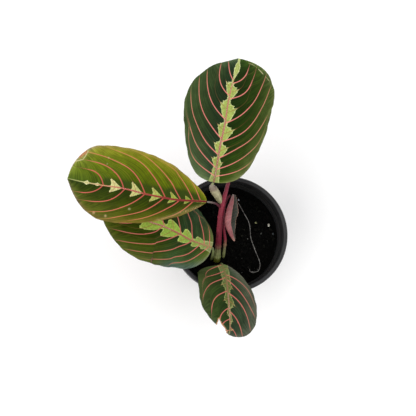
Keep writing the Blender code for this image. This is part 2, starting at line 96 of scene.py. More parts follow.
# A blade is spread along its midrib. Each side's half-width is a short sine series over the leaf;
# "rise" tilts the side up from the midrib in degrees, "arch" bends its margin down again, "ear"
# sweeps the base of that side back past the petiole, "slant" leans the rows near the tip, "nib" draws
# the margin back from the tip, and "end" stops the blade at that share of the midrib.
# A vein of "veins" leaves the midrib at a share of the length, and swings round to run beside it: at
# x mm further on it is side * (1 - exp(-x / swing)) mm out, for its (share, side, swing). "lobes"
# gives how far, in mm, the pale lobe reaches from the midrib in each interval: before the first
# vein, between veins, after the last. "band" is pale width beside the midrib at (share, mm).
BLADES = {
    "leaf_top": {
        "midrib": [(-20.6, 35.3, 150), (-18.4, 48, 153), (-15.6, 66.4, 157), (-12, 83.8, 159),
                   (-8.6, 105, 158), (-4.2, 122.6, 155), (-0.4, 134.8, 152), (2, 144.4, 148)],
        "left": {"widths": (33.6, 1.5, -2.9, 2.6), "rise": 8, "ear": 10,
                 "veins": [(0.046, 30.5, 13), (0.104, 44, 30), (0.204, 37.5, 23), (0.324, 32, 21),
                           (0.47, 27, 18), (0.66, 15, 8), (0.793, 10.7, 9.6)],
                 "lobes": [3, 4.2, 5.8, 5.8, 6.2, 7.2, 6, 0]},
        "right": {"widths": (40, -3.5, 3.3, 0), "rise": 6, "ear": 1,
                  "veins": [(0.045, 35, 11), (0.097, 37, 16.6), (0.179, 44, 27.5), (0.302, 33, 17),
                            (0.444, 26, 14), (0.634, 16, 6.4), (0.766, 9.8, 5.3)],
                  "lobes": [3, 3.8, 4.6, 7.6, 9.4, 8.6, 7, 0]},
        "band": [(0, 4.5), (0.05, 3.6), (0.12, 2.8), (0.2, 1.2), (0.3, 0.4), (0.79, 0.1),
                 (0.84, 1.4), (0.88, 2.3), (0.93, 2.2), (0.955, 1.2), (1, 0.8)],
        "arch": 0.10,
    },
    "leaf_left_upper": {
        "midrib": [(-26.2, 19.6, 146), (-49.6, 19.5, 152), (-61, 20.6, 154.5), (-77.4, 23.4, 156),
                   (-95.6, 27.9, 155), (-112.8, 31, 151), (-130.4, 35.3, 143), (-142.6, 39.2, 136)],
        "left": {"widths": (24.3, -3.9, -4, 1.9, -0.9), "rise": 3, "ear": 0,
                 "veins": [(0.092, 37.5, 39), (0.191, 47, 49), (0.30, 33, 26), (0.43, 25, 16),
                           (0.567, 15.5, 8.5), (0.72, 9.6, 6.5)],
                 "lobes": [0, 3, 4, 5.5, 5.5, 5, 0]},
        "right": {"widths": (35, -6, 1.1, -1.7), "rise": 11, "ear": 6,
                  "veins": [(0.042, 34, 15), (0.093, 34.5, 18), (0.182, 40, 27.5), (0.29, 35.6, 24),
                            (0.429, 26.6, 17), (0.576, 19, 9), (0.717, 11.5, 4.7)],
                  "lobes": [0, 0, 4, 6, 6.5, 7, 6.5, 0]},
        "band": [(0, 1.2), (0.2, 0.6), (0.3, 0), (0.74, 0), (0.76, 1.4), (0.78, 0.5), (0.82, 0.4),
                 (0.84, 1.8), (0.87, 0.4), (0.93, 0.2), (1, 0)],
        "arch": 0.10,
        "nib": 0.2,
    },
    "leaf_left_lower": {
        "midrib": [(-17.6, -14, 104), (-35.5, -8.7, 109), (-46.2, -3.5, 112), (-61, 2.8, 115),
                   (-70.7, 5.6, 116), (-94, 13.9, 114), (-113, 19, 109)],
        "left": {"widths": (33.7, 0, -0.9, 0.3), "rise": 7, "ear": 7,
                 "veins": [(0.026, 60, 44), (0.107, 36, 20), (0.187, 32.7, 22), (0.308, 27, 20),
                           (0.464, 17, 11), (0.657, 10.5, 7.5)],
                 "lobes": [4, 4.5, 5, 6.6, 8.6, 8, 0]},
        "right": {"widths": (27, 4.2, -1, 0.5), "rise": 7, "ear": 1,
                  "veins": [(0.025, 23, 5), (0.071, 26, 9.4), (0.177, 60, 38), (0.297, 40, 24.5),
                            (0.453, 30, 20), (0.62, 20, 13)],
                  "lobes": [4, 4.2, 5, 6.6, 8, 7, 0]},
        "band": [(0, 5), (0.05, 4), (0.1, 3), (0.2, 1.8), (0.5, 1), (0.7, 0), (1, 0)],
        "arch": 0.10,
    },
    "leaf_front": {
        "midrib": [(-6.8, -27.4, 89), (-4.2, -39.2, 95), (-3, -51.8, 98), (-1.6, -66.4, 97),
                   (-0.4, -78.4, 91.5), (0.4, -86, 82), (0.6, -89.5, 70), (0.6, -90.6, 60)],
        "left": {"widths": (16.7, 6.4, -7.5, 1), "rise": 5, "ear": 5,
                 "veins": [(0.123, 27, 14.5), (0.172, 39, 37), (0.312, 19, 11.6), (0.495, 11, 8),
                           (0.68, 6.5, 5)],
                 "lobes": [4, 4.4, 4.8, 5.2, 2.4, 0]},
        "right": {"widths": (21.8, 10.5, -2.7, 3.2), "rise": 5, "ear": 12,
                  "veins": [(0.0, 18, 4), (0.079, 22.5, 6), (0.15, 24, 9.5), (0.292, 16, 6.4),
                            (0.459, 10, 6.6), (0.577, 8, 6), (0.74, 5, 5)],
                  "lobes": [3.6, 4, 4.4, 5.6, 4.4, 2.6, 0, 0]},
        "band": [(0, 4.5), (0.06, 4), (0.2, 3.4), (0.3, 2), (0.42, 1.4), (0.5, 0.6), (0.7, 0.3), (1, 0)],
        "arch": 0.14,
        "slant": 1.2,
        "end": 0.86,
    },
}

# The missing piece of the front leaf's margin, seen from above: a slit beside a flap.
TEAR_OUTLINE = [(-10.3, -75.2), (-7.8, -79.4), (-4.6, -82.8), (-1.6, -86.6), (-1.8, -94),
                (-12.2, -86), (-10.9, -79.2)]
TEAR_STEP = 0.9
TEAR_SHAKE = 0.16

BLADE_THICKNESS = 0.36
BLADE_ROWS = 340
BLADE_COLUMNS = 64
TIP_TRIM = 0.998
PATH_POINTS = 401
WELD_DISTANCE = 2e-6

# The young blade is a gutter: one half arches over, the other lies open below it.
YOUNG_SPINE = [(-1, 29.5, 126), (-2, 22, 125.5), (-3.6, 14, 122), (-3.6, 5, 116), (-1, -2.2, 110),
               (2.2, -7.4, 104)]
YOUNG_RADIUS = 4.0
YOUNG_END_RADIUS = 0.9
YOUNG_LIP = 1.9
YOUNG_START = math.radians(70)
YOUNG_SWEEP = math.radians(205)

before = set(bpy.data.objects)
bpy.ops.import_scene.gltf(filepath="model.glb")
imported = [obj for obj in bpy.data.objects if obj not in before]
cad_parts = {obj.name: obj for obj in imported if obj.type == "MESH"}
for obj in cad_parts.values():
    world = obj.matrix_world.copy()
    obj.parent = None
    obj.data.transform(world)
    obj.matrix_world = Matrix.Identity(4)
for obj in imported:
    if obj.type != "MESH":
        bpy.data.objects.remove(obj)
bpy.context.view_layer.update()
random = np.random.default_rng(20)


# ---------------------------------------------------------------- mesh tools

def link(name, data, materials=()):
    made = bpy.data.objects.new(name, data)
    bpy.context.scene.collection.objects.link(made)
    for entry in materials:
        data.materials.append(entry)
    return made


def belongs(obj, nodes):
    """The piece rides on the one body and stands for the CAD nodes, which it hides."""
    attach(obj, BODY)
    if nodes:
        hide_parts(*nodes)


def settle(obj, angle=50):
    """Applies the modifiers, keeps the attributes, and marks the sharp edges."""
    graph = bpy.context.evaluated_depsgraph_get()
    mesh = bpy.data.meshes.new_from_object(obj.evaluated_get(graph), preserve_all_data_layers=True,
                                           depsgraph=graph)
    obj.modifiers.clear()
    obj.data = mesh
    mesh.shade_smooth()
    mesh.set_sharp_from_angle(angle=math.radians(angle))
    return obj


def mesh_of(name, cage):
    """The bmesh as a new mesh; the bmesh is freed."""
    mesh = bpy.data.meshes.new(name)
    cage.to_mesh(mesh)
    cage.free()
    return mesh


def mesh_from(name, points, faces):
    """A mesh from points in mm and faces of point numbers."""
    mesh = bpy.data.meshes.new(name)
    mesh.from_pydata((points * MM).tolist(), [], faces.tolist())
    return mesh


def weld(mesh, distance=1e-6):
    cage = bmesh.new()
    cage.from_mesh(mesh)
    bmesh.ops.remove_doubles(cage, verts=cage.verts, dist=distance)
    bmesh.ops.dissolve_degenerate(cage, edges=cage.edges, dist=distance / 10)
    cage.to_mesh(mesh)
    cage.free()
    return mesh


def thicken(sheet):
    """Gives a blade's open sheet its thickness; the second material goes on the other side."""
    shell = sheet.modifiers.new("thickness", "SOLIDIFY")
    shell.thickness = BLADE_THICKNESS * MM
    shell.offset = 0.0
    shell.material_offset = 1
    settle(sheet)


def cut(obj, cutter):
    step = obj.modifiers.new("cut", "BOOLEAN")
    step.operation = "DIFFERENCE"
    step.object = cutter
    step.solver = "EXACT"


def spread(table, share):
    """A value read between the (share, value) points of a table."""
    places, values = zip(*table)
    return np.interp(share, places, values)


def run_along(path):
    """The distance along a path to each of its points."""
    return np.r_[0, np.cumsum(np.linalg.norm(np.diff(path[:, :3], axis=0), axis=1))]


def between_rows(table, places, wanted):
    """The table's rows, which stand at the places, read at the wanted places."""
    return np.stack([np.interp(wanted, places, column) for column in table.T], axis=1)


def smooth_path(stations, count):
    """Evenly spaced points on a Catmull-Rom curve through the stations."""
    knots = np.array(stations, dtype=float)
    knots = np.vstack([2 * knots[0] - knots[1], knots, 2 * knots[-1] - knots[-2]])
    fine = []
    for first in range(len(knots) - 3):
        a, b, c, d = knots[first:first + 4]
        for t in np.linspace(0, 1, CURVE_STEPS, endpoint=False):
            fine.append(0.5 * (2 * b + (c - a) * t + (2 * a - 5 * b + 4 * c - d) * t ** 2
                               + (3 * b - a - 3 * c + d) * t ** 3))
    fine = np.array(fine + [knots[-2]])
    run = run_along(fine)
    return between_rows(fine, run, np.linspace(0, run[-1], count))


def lathe(radius, height, turn):
    """Points turned about Z, from a column of radii and one of heights."""
    return np.stack(np.broadcast_arrays(radius * np.cos(turn), radius * np.sin(turn), height), axis=-1)


def unit(vectors):
    length = np.linalg.norm(vectors, axis=-1, keepdims=True)
    return vectors / np.maximum(length, 1e-12)


def lumps(points, scale, seed):
    """Smooth noise from -1 to 1 at the points, which are in mm, with lumps of about 1 / scale."""
    shift = Vector((seed, -seed, 0.5 * seed))
    return np.array([noise.noise(Vector(point) * scale + shift) for point in points])


def sheet_mesh(name, points, layers, closed=False):
    """A grid of quads over points[row, column]. layers holds values per point, by attribute name."""
    rows, columns = points.shape[:2]
    index = np.arange(rows * columns).reshape(rows, columns)
    right = np.roll(index, -1, axis=1) if closed else index[:, 1:]
    left = index if closed else index[:, :-1]
    faces = np.stack([left[:-1], left[1:], right[1:], right[:-1]], axis=-1).reshape(-1, 4)
    mesh = mesh_from(name, points.reshape(-1, 3), faces)
    for layer, values in layers.items():
        made = mesh.attributes.new(layer, "FLOAT_VECTOR", "CORNER")
        made.data.foreach_set("vector", values.reshape(-1, 3)[faces.ravel()].ravel())
    return mesh


def join_meshes(name, meshes):
    """One mesh of several, each removed after."""
    cage = bmesh.new()
    for mesh in meshes:
        cage.from_mesh(mesh)
        bpy.data.meshes.remove(mesh)
    return mesh_of(name, cage)


# ---------------------------------------------------------------- material tools

class Graph:
    """A material, and short calls that add nodes to it."""

    def __init__(self, name):
        self.material = bpy.data.materials.new(name)
        self.material.use_nodes = True
        self.nodes = self.material.node_tree.nodes
        self.links = self.material.node_tree.links
        self.shader = self.nodes["Principled BSDF"]

    def feed(self, socket, value):
        if isinstance(value, bpy.types.NodeSocket):
            self.links.new(value, socket)
        elif isinstance(value, tuple) and len(value) == 3 and len(socket.default_value) == 4:
            socket.default_value = (*value, 1.0)
        else:
            socket.default_value = value

    def node(self, kind, inputs=None, **settings):
        made = self.nodes.new("ShaderNode" + kind)
        for key, value in settings.items():
            setattr(made, key, value)
        for key, value in (inputs or {}).items():
            self.feed(made.inputs[key], value)
        return made

    def calc(self, operation, *values):
        made = self.node("Math", operation=operation)
        for socket, value in zip(made.inputs, values):
            self.feed(socket, value)
        return made.outputs[0]

    def both(self, first, *rest):
        """The product of all the values."""
        for value in rest:
            first = self.calc("MULTIPLY", first, value)
        return first

    def plus(self, first, second):
        return self.calc("ADD", first, second)

    def minus(self, first, second):
        return self.calc("SUBTRACT", first, second)

    def size(self, value):
        return self.calc("ABSOLUTE", value)

    def fade(self, value, start, end, low=0.0, high=1.0):
        """low where the value is at start, high where it is at end, and smooth between."""
        made = self.node("MapRange", {"Value": value, "From Min": start, "From Max": end,
                                      "To Min": low, "To Max": high}, interpolation_type="SMOOTHSTEP")
        return made.outputs[0]

    def vary(self, value, low, high):
        """low to high over the range that noise mostly keeps to."""
        return self.fade(value, 0.3, 0.7, low, high)

    def mix(self, share, first, second, blend="MIX"):
        made = self.node("Mix", data_type="RGBA", blend_type=blend)
        for socket, value in zip((made.inputs[0], made.inputs[6], made.inputs[7]), (share, first, second)):
            self.feed(socket, value)
        return made.outputs[2]

    def tint(self, colour, factor):
        """The colour times a number or another colour."""
        return self.mix(1.0, colour, factor, "MULTIPLY")

    def ramp(self, value, stops):
        made = self.node("ValToRGB", {"Fac": value})
        elements = made.color_ramp.elements
        while len(elements) < len(stops):
            elements.new(1.0)
        for element, (place, colour) in zip(elements, stops):
            element.position = place
            element.color = (*colour, 1.0)
        return made.outputs[0]

    def curve(self, value, points):
        """A hand-drawn function through the points."""
        made = self.node("FloatCurve", {"Value": value})
        line = made.mapping.curves[0]
        for place, height in points[1:-1]:
            line.points.new(place, height)
        for point, (place, height) in zip(line.points, points):
            point.location = (place, height)
            point.handle_type = "VECTOR"
        made.mapping.update()
        return made.outputs[0]

    def layer(self, name):
        """The three values of a mesh attribute."""
        vector = self.node("Attribute", attribute_name=name).outputs["Vector"]
        return self.node("SeparateXYZ", {"Vector": vector}).outputs[:]

    def join(self, x, y, z=0.0):
        return self.node("CombineXYZ", {"X": x, "Y": y, "Z": z}).outputs[0]

    def here(self, stretch=(1, 1, 1)):
        """The object's own coordinates, in mm."""
        place = self.node("TexCoord").outputs["Object"]
        scaled = tuple(1000.0 * factor for factor in stretch)
        return self.node("Mapping", {"Vector": place, "Scale": scaled}).outputs[0]

    def noise(self, vector, scale, detail=3.0, roughness=0.55, distortion=0.0):
        made = self.node("TexNoise", {"Vector": vector, "Scale": scale, "Detail": detail,
                                      "Roughness": roughness, "Distortion": distortion})
        return made.outputs["Fac"]

    def cells(self, vector, scale):
        return self.node("TexVoronoi", {"Vector": vector, "Scale": scale}).outputs["Distance"]

    def bump(self, height, depth, before=None):
        """Depth is in metres for a height of 1."""
        made = self.node("Bump", {"Height": height, "Distance": depth, "Strength": 1.0})
        if before:
            self.links.new(before, made.inputs["Normal"])
        return made.outputs[0]

    def finish(self, colour, roughness, normal=None, gloss=None):
        """gloss is the specular level, where it is not the shader's own."""
        self.feed(self.shader.inputs["Base Color"], colour)
        self.feed(self.shader.inputs["Roughness"], roughness)
        if normal is not None:
            self.feed(self.shader.inputs["Normal"], normal)
        if gloss is not None:
            self.shader.inputs["Specular IOR Level"].default_value = gloss
        return self.material


# ---------------------------------------------------------------- leaves

LOBE_SHAPES = {
    "broad": [(0, 0.40), (0.10, 0.56), (0.22, 0.70), (0.27, 0.84), (0.34, 0.80), (0.42, 1.0),
              (0.48, 0.68), (0.53, 0.60), (0.6, 0.66), (0.68, 0.40), (0.8, 0.20), (0.93, 0.20),
              (1, 0.36)],
    "round": [(0, 0.45), (0.15, 0.8), (0.35, 0.98), (0.5, 1.0), (0.64, 0.85), (0.76, 0.45),
              (0.88, 0.25), (1, 0.4)],
    "arrow": [(0, 0), (0.12, 0.06), (0.22, 0.3), (0.34, 0.75), (0.42, 1.0), (0.5, 0.88), (0.56, 0.35),
              (0.62, 0.12), (0.8, 0.05), (1, 0)],
}
# Each half has a ramp of colours from the midrib to the margin, and the whole leaf a ramp of
# tints from its foot to its tip. "vein" and "rib" are ramps outward and along.
LOOKS = {
    "leaf_top": {
        # Painted sheen: the left half's greens are greyed, most at the margin, for the sheen on that side.
        "left": [(0, (0.010, 0.022, 0.008)), (0.3, (0.014, 0.029, 0.009)),
                 (0.6, (0.026, 0.046, 0.013)), (0.9, (0.034, 0.060, 0.018)), (1, (0.052, 0.076, 0.024))],
        "right": [(0, (0.007, 0.019, 0.0012)), (0.35, (0.010, 0.025, 0.0012)),
                  (0.65, (0.019, 0.038, 0.003)), (0.9, (0.042, 0.064, 0.012)),
                  (1, (0.078, 0.098, 0.026))],
        "length": [(0, (3.2, 2.6, 3.6)), (0.1, (1.7, 1.5, 2.0)), (0.4, (1, 1, 1)), (0.8, (1, 1, 1)),
                   (0.92, (1.5, 1.45, 1.9)), (1, (3.0, 2.6, 4.2))],
        "vein": [(0, (0.66, 0.200, 0.170)), (0.6, (0.66, 0.190, 0.160)), (1, (0.40, 0.190, 0.100))],
        "rib": [(0, (0.24, 0.15, 0.075)), (0.3, (0.36, 0.130, 0.095)), (0.75, (0.42, 0.150, 0.095)),
                (0.82, (0.40, 0.42, 0.13)), (1, (0.36, 0.42, 0.14))],
        "lime": [(0, (0.24, 0.29, 0.09)), (0.2, (0.30, 0.37, 0.085)), (1, (0.34, 0.41, 0.10))],
        "cream": [(0, (0.38, 0.42, 0.17)), (0.3, (0.58, 0.62, 0.28)), (1, (0.64, 0.68, 0.34))],
        "lobe": "broad",
    },
    "leaf_left_upper": {
        "left": [(0, (0.014, 0.028, 0.0006)), (0.4, (0.027, 0.043, 0.0006)),
                 (0.8, (0.064, 0.080, 0.003)), (1, (0.140, 0.110, 0.014))],
        # The right half's bright yellow-green is partly its own colour and partly a painted glow of light
        # through it.
        "right": [(0, (0.036, 0.066, 0.0010)), (0.3, (0.066, 0.100, 0.0012)),
                  (0.7, (0.105, 0.140, 0.003)), (0.9, (0.170, 0.180, 0.008)),
                  (1, (0.240, 0.200, 0.030))],
        # Toward the tip these tints grey the blade as a painted glare.
        "length": [(0, (1.15, 1.0, 1.5)), (0.2, (1.0, 0.9, 1.2)), (0.5, (1, 0.95, 1)), (0.8, (1.1, 1.05, 2)),
                   (0.93, (1.35, 1.25, 6)), (1, (1.6, 1.45, 11))],
        "vein": [(0, (0.42, 0.070, 0.055)), (0.5, (0.60, 0.125, 0.095)), (1, (0.50, 0.170, 0.075))],
        "rib": [(0, (0.16, 0.022, 0.020)), (0.3, (0.24, 0.032, 0.030)), (0.6, (0.40, 0.09, 0.06)),
                (0.75, (0.48, 0.24, 0.10)), (0.86, (0.42, 0.40, 0.15)), (1, (0.20, 0.24, 0.07))],
        "lime": [(0, (0.16, 0.25, 0.02)), (0.3, (0.27, 0.35, 0.05)), (0.55, (0.52, 0.50, 0.20)),
                 (1, (0.56, 0.53, 0.26))],
        "cream": [(0, (0.30, 0.38, 0.06)), (0.4, (0.56, 0.56, 0.20)), (1, (0.72, 0.66, 0.40))],
        "lobe": "arrow",
    },
    "leaf_left_lower": {
        "left": [(0, (0.018, 0.031, 0.0015)), (0.4, (0.026, 0.043, 0.0015)),
                 (0.75, (0.044, 0.066, 0.004)), (1, (0.075, 0.092, 0.016))],
        "right": [(0, (0.016, 0.030, 0.0018)), (0.5, (0.023, 0.038, 0.0024)), (1, (0.038, 0.052, 0.005))],
        # At the foot these tints lighten and grey the blade: partly a paler base, partly a painted glare.
        "length": [(0, (3.4, 2.9, 9)), (0.06, (1.9, 1.8, 6)), (0.14, (0.95, 1.15, 5)), (0.3, (0.8, 1.05, 5)),
                   (0.42, (0.95, 1, 1.5)), (0.6, (1, 1, 1)), (1, (1.25, 1.15, 1.2))],
        "vein": [(0, (0.48, 0.125, 0.100)), (0.6, (0.60, 0.150, 0.120)), (1, (0.42, 0.160, 0.090))],
        "rib": [(0, (0.30, 0.22, 0.09)), (0.3, (0.36, 0.13, 0.085)), (1, (0.45, 0.14, 0.10))],
        "lime": [(0, (0.22, 0.27, 0.11)), (0.12, (0.22, 0.33, 0.07)), (0.3, (0.26, 0.40, 0.055)),
                 (1, (0.30, 0.42, 0.06))],
        "cream": [(0, (0.34, 0.38, 0.18)), (0.3, (0.48, 0.60, 0.16)), (1, (0.54, 0.64, 0.19))],
        "lobe": "round",
    },
    "leaf_front": {
        # Painted sheen: the left half is greyed toward its margin for the sheen on it.
        "left": [(0, (0.014, 0.028, 0.010)), (0.5, (0.028, 0.044, 0.020)), (1, (0.080, 0.085, 0.055))],
        "right": [(0, (0.012, 0.028, 0.005)), (0.5, (0.024, 0.043, 0.008)),
                  (1, (0.046, 0.066, 0.018))],
        "length": [(0, (1.3, 1.25, 1.5)), (0.2, (1, 1, 1)), (0.6, (0.9, 0.95, 1)), (1, (1.15, 1.1, 1.3))],
        "vein": [(0, (0.44, 0.120, 0.095)), (0.5, (0.54, 0.140, 0.115)), (1, (0.34, 0.130, 0.090))],
        "rib": [(0, (0.15, 0.15, 0.05)), (0.3, (0.21, 0.12, 0.06)), (0.6, (0.30, 0.14, 0.08)),
                (0.8, (0.22, 0.21, 0.08)), (1, (0.20, 0.21, 0.09))],
        "lime": [(0, (0.13, 0.17, 0.055)), (0.3, (0.095, 0.125, 0.032)), (1, (0.08, 0.10, 0.032))],
        "cream": [(0, (0.22, 0.25, 0.10)), (0.3, (0.30, 0.32, 0.11)), (0.6, (0.34, 0.34, 0.14)),
                  (1, (0.20, 0.20, 0.09))],
        "lobe": "broad",
    },
}
# Marks in each blade: how brown, how pale, how deep green, radius in mm, and a line of (length,
# across) shares that they follow, with the left half positive.
MARKS = {
    "leaf_top": [(0, 0.6, 0, 0.32, [(0.973, -0.49), (0.966, -0.62), (0.953, -0.68)]),
                 (0, 0.8, 0, 0.36, [(0.94, -0.715), (0.915, -0.78)]),
                 (0, 0.5, 0, 0.32, [(0.905, -0.84), (0.885, -0.92)])],
    "leaf_left_upper": [
        (0.8, 0.2, 0, 2.4, [(0.92, -0.94), (0.948, -0.94)]),
        (0, 0.8, 0, 0.5, [(0.895, -0.90), (0.903, -0.76), (0.92, -0.68), (0.975, -0.93)]),
        (0.6, 0.4, 0, 1.1, [(0.743, 0.87)]), (0.6, 0.4, 0, 1.0, [(0.668, 0.84)]),
        (0, 0.5, 0, 0.9, [(0.50, 0.57)]), (0, 0.4, 0, 0.7, [(0.716, -0.68)]),
        (0, 0.3, 0, 0.6, [(0.718, -0.53)]), (0.42, 0, 0, 1.5, [(0.24, -0.99), (0.34, -0.98)]),
        (0.45, 0.1, 0, 1.6, [(0.04, 0.99), (0.32, 0.99)]),
        (0, 0, 0.9, 5.0, [(0.08, -0.12), (0.17, -0.20), (0.27, -0.16)]),
        (0, 0, 0.7, 4.0, [(0.32, -0.16), (0.52, -0.12), (0.70, -0.10)]),
    ],
    "leaf_left_lower": [],
    "leaf_front": [(0.6, 0.2, 0, 1.0, [(0.718, 0.11), (0.70, 0.16)])],
}
VEIN_DEPTH = 0.22
QUILT_HEIGHT = 0.34
RIB_DEPTH = 0.5
WAVE_HEIGHT = 0.5
# The margin's small waves: depth in mm, how far they are drawn in, and how fast two of them run.
EDGE_RIPPLE = 0.16
RIPPLE_INSET = 1.7
RIPPLE_RATES = (47, 83)
RIPPLE_SECOND = 0.7
EDGE_POWER = 8
WAVE_RATE = 21
# Widths in mm of the hollows over a vein and the midrib, and of the calm strip beside the midrib.
VEIN_WIDTH = 0.7
RIB_WIDTH = 1.1
CALM_WIDTH = 3
FULL_QUILT_SPACING = 8
NIB_WIDTH = 1.2
NIB_POWER = 12
LEAF_GLOSS = 0.05
DEEP_GREEN = (0.022, 0.040, 0.004)
TWIG = (0.30, 0.105, 0.050)
WORN = (0.55, 0.50, 0.27)
BROWNS = [(0.3, (0.24, 0.10, 0.035)), (0.7, (0.50, 0.26, 0.12))]
WINE_BACK = [(0, (0.190, 0.034, 0.050)), (0.5, (0.150, 0.022, 0.036)),
             (0.93, (0.120, 0.022, 0.026)), (1, (0.100, 0.040, 0.022))]
WINE_VEIN = (0.330, 0.085, 0.090)
WINE_RIB = [(0, (0.34, 0.22, 0.13)), (0.4, (0.34, 0.10, 0.10)), (1, (0.26, 0.06, 0.07))]


def vein_phase(veins, along, out, length):
    """Counts veins along the leaf: 0 on the first, 1 on the second, and -1 where the blade begins."""
    crossings = [np.full_like(out, length + 2 * (len(veins) + 1))]
    for number, (share, side, swing) in reversed(list(enumerate(veins, start=1))):
        swung = -swing * np.log(np.maximum(1 - out / side, 1e-9)) + length * (out >= side)
        crossing = np.minimum(share * length + swung, length + 2 * number)
        crossings.insert(0, np.minimum(crossing, crossings[0] - 0.2))
    crossings.insert(0, np.zeros_like(out))
    phase = -np.ones_like(out)
    for near, far in zip(crossings, crossings[1:]):
        phase += np.clip((along - near) / np.maximum(far - near, 0.1), 0, 1)
    return phase


def blade_half(leaf, side, sign):
    """One half of a blade: its points, and per point its place, its veins and its marks."""
    shape = leaf[side]
    path = smooth_path(leaf["midrib"], PATH_POINTS)
    tangents = unit(np.gradient(path, axis=0))
    station = leaf.get("end", 1.0) * (1 - np.cos(np.linspace(0, math.pi, BLADE_ROWS))) / 2
    theta = np.arccos(1 - 2 * station)
    across = np.linspace(0, 1, BLADE_COLUMNS + 1)
    row = station * TIP_TRIM * (len(path) - 1)
    places = np.arange(len(path))
    middle = between_rows(path, places, row)
    along = unit(between_rows(tangents, places, row))
    level = unit(np.cross((0, 0, 1), along))
    above = np.cross(along, level)
    heading = unit((path[-1] - path[0]) * (1, 1, 0))

    width = half_width(shape["widths"], theta)
    widest = width.max()
    ripple = (np.sin(station * RIPPLE_RATES[0] + 3 * sign)
              + RIPPLE_SECOND * np.sin(station * RIPPLE_RATES[1] + sign))
    inset = EDGE_RIPPLE * (RIPPLE_INSET + ripple)[:, None] * across ** EDGE_POWER * np.sin(theta)[:, None]
    out = across * width[:, None] - inset
    rise = math.radians(shape["rise"])
    lift = out * math.sin(rise) - leaf["arch"] * out ** 2 / widest
    back = shape["ear"] * (out / widest) ** 2 * ((1 - station) ** 2)[:, None]
    lean = sign * out * leaf.get("slant", 0) * (station ** 2)[:, None]
    points = (middle[:, None] + level[:, None] * (sign * out * math.cos(rise))[..., None]
              + above[:, None] * lift[..., None] - along[:, None] * back[..., None]
              + heading * lean[..., None])
    nib = (1 - np.exp(-(out / NIB_WIDTH) ** 2)) * (station ** NIB_POWER)[:, None] * leaf.get("nib", 0)
    points = points - along[:, None] * nib[..., None]

    length = np.linalg.norm(np.diff(path, axis=0), axis=1).sum()
    phase = vein_phase(shape["veins"], station[:, None] * length, out, length)
    count = len(shape["veins"])
    spacing = phase_spacing(points, phase)
    reach = np.array(shape["lobes"])[np.clip(np.floor(phase).astype(int) + 1, 0, count)]
    band = np.broadcast_to(spread(leaf["band"], station)[:, None], phase.shape)
    strength = ((phase > -0.5) & (phase < count - 0.5)).astype(float)

    off_vein = np.abs((phase + 0.5) % 1 - 0.5) * spacing
    plump = np.sin(math.pi * (phase % 1)) ** 2 * np.clip(spacing / FULL_QUILT_SPACING, 0, 1)
    quiet = np.clip(out / CALM_WIDTH, 0, 1) * np.clip(np.minimum(station, 1 - station) * 25, 0, 1)[:, None]
    wave = np.sin(station * WAVE_RATE + 2 * sign)[:, None] * across ** 2
    relief = (quiet * (QUILT_HEIGHT * plump * np.sin(math.pi * across) ** 0.7
                       - VEIN_DEPTH * strength * np.exp(-(off_vein / VEIN_WIDTH) ** 2) + WAVE_HEIGHT * wave
                       - QUILT_HEIGHT)
              - RIB_DEPTH * np.exp(-(out / RIB_WIDTH) ** 2) * np.clip((1 - station) * 4, 0, 1)[:, None])
    normal = np.cross(np.gradient(points, axis=0), np.gradient(points, axis=1)) * sign
    normal[0], normal[-1] = normal[1], normal[-2]
    points = points + unit(normal) * relief[..., None]

    place = np.stack([np.broadcast_to(station[:, None], phase.shape),
                      np.broadcast_to(sign * across, phase.shape), out], axis=-1)
    veins = np.stack([phase, spacing, reach], axis=-1)
    return points, place, veins, band, strength


def half_width(series, theta):
    return np.maximum(sum(term * np.sin((k + 1) * theta) for k, term in enumerate(series)), 0)


def phase_spacing(points, phase):
    """The distance in mm from one vein to the next, from how fast the phase changes on the sheet."""
    down, over = np.gradient(points, axis=0), np.gradient(points, axis=1)
    p_down, p_over = np.gradient(phase, axis=0), np.gradient(phase, axis=1)
    e, f, g = (down ** 2).sum(-1), (down * over).sum(-1), (over ** 2).sum(-1)
    slope = (g * p_down ** 2 - 2 * f * p_down * p_over + e * p_over ** 2) / np.maximum(e * g - f * f, 1e-9)
    return np.clip(1 / np.sqrt(np.maximum(slope, 1e-6)), 0.05, 60)


def distance_to_line(points, line):
    """The distance from each point to the nearest part of a line of points."""
    line = np.array(line, dtype=float)
    if len(line) == 1:
        return np.linalg.norm(points - line[0], axis=-1)
    nearest = np.full(points.shape[:-1], np.inf)
    for start, end in zip(line[:-1], line[1:]):
        step = end - start
        share = np.clip(((points - start) @ step) / (step @ step), 0, 1)
        nearest = np.minimum(nearest, np.linalg.norm(points - start - share[..., None] * step, axis=-1))
    return nearest


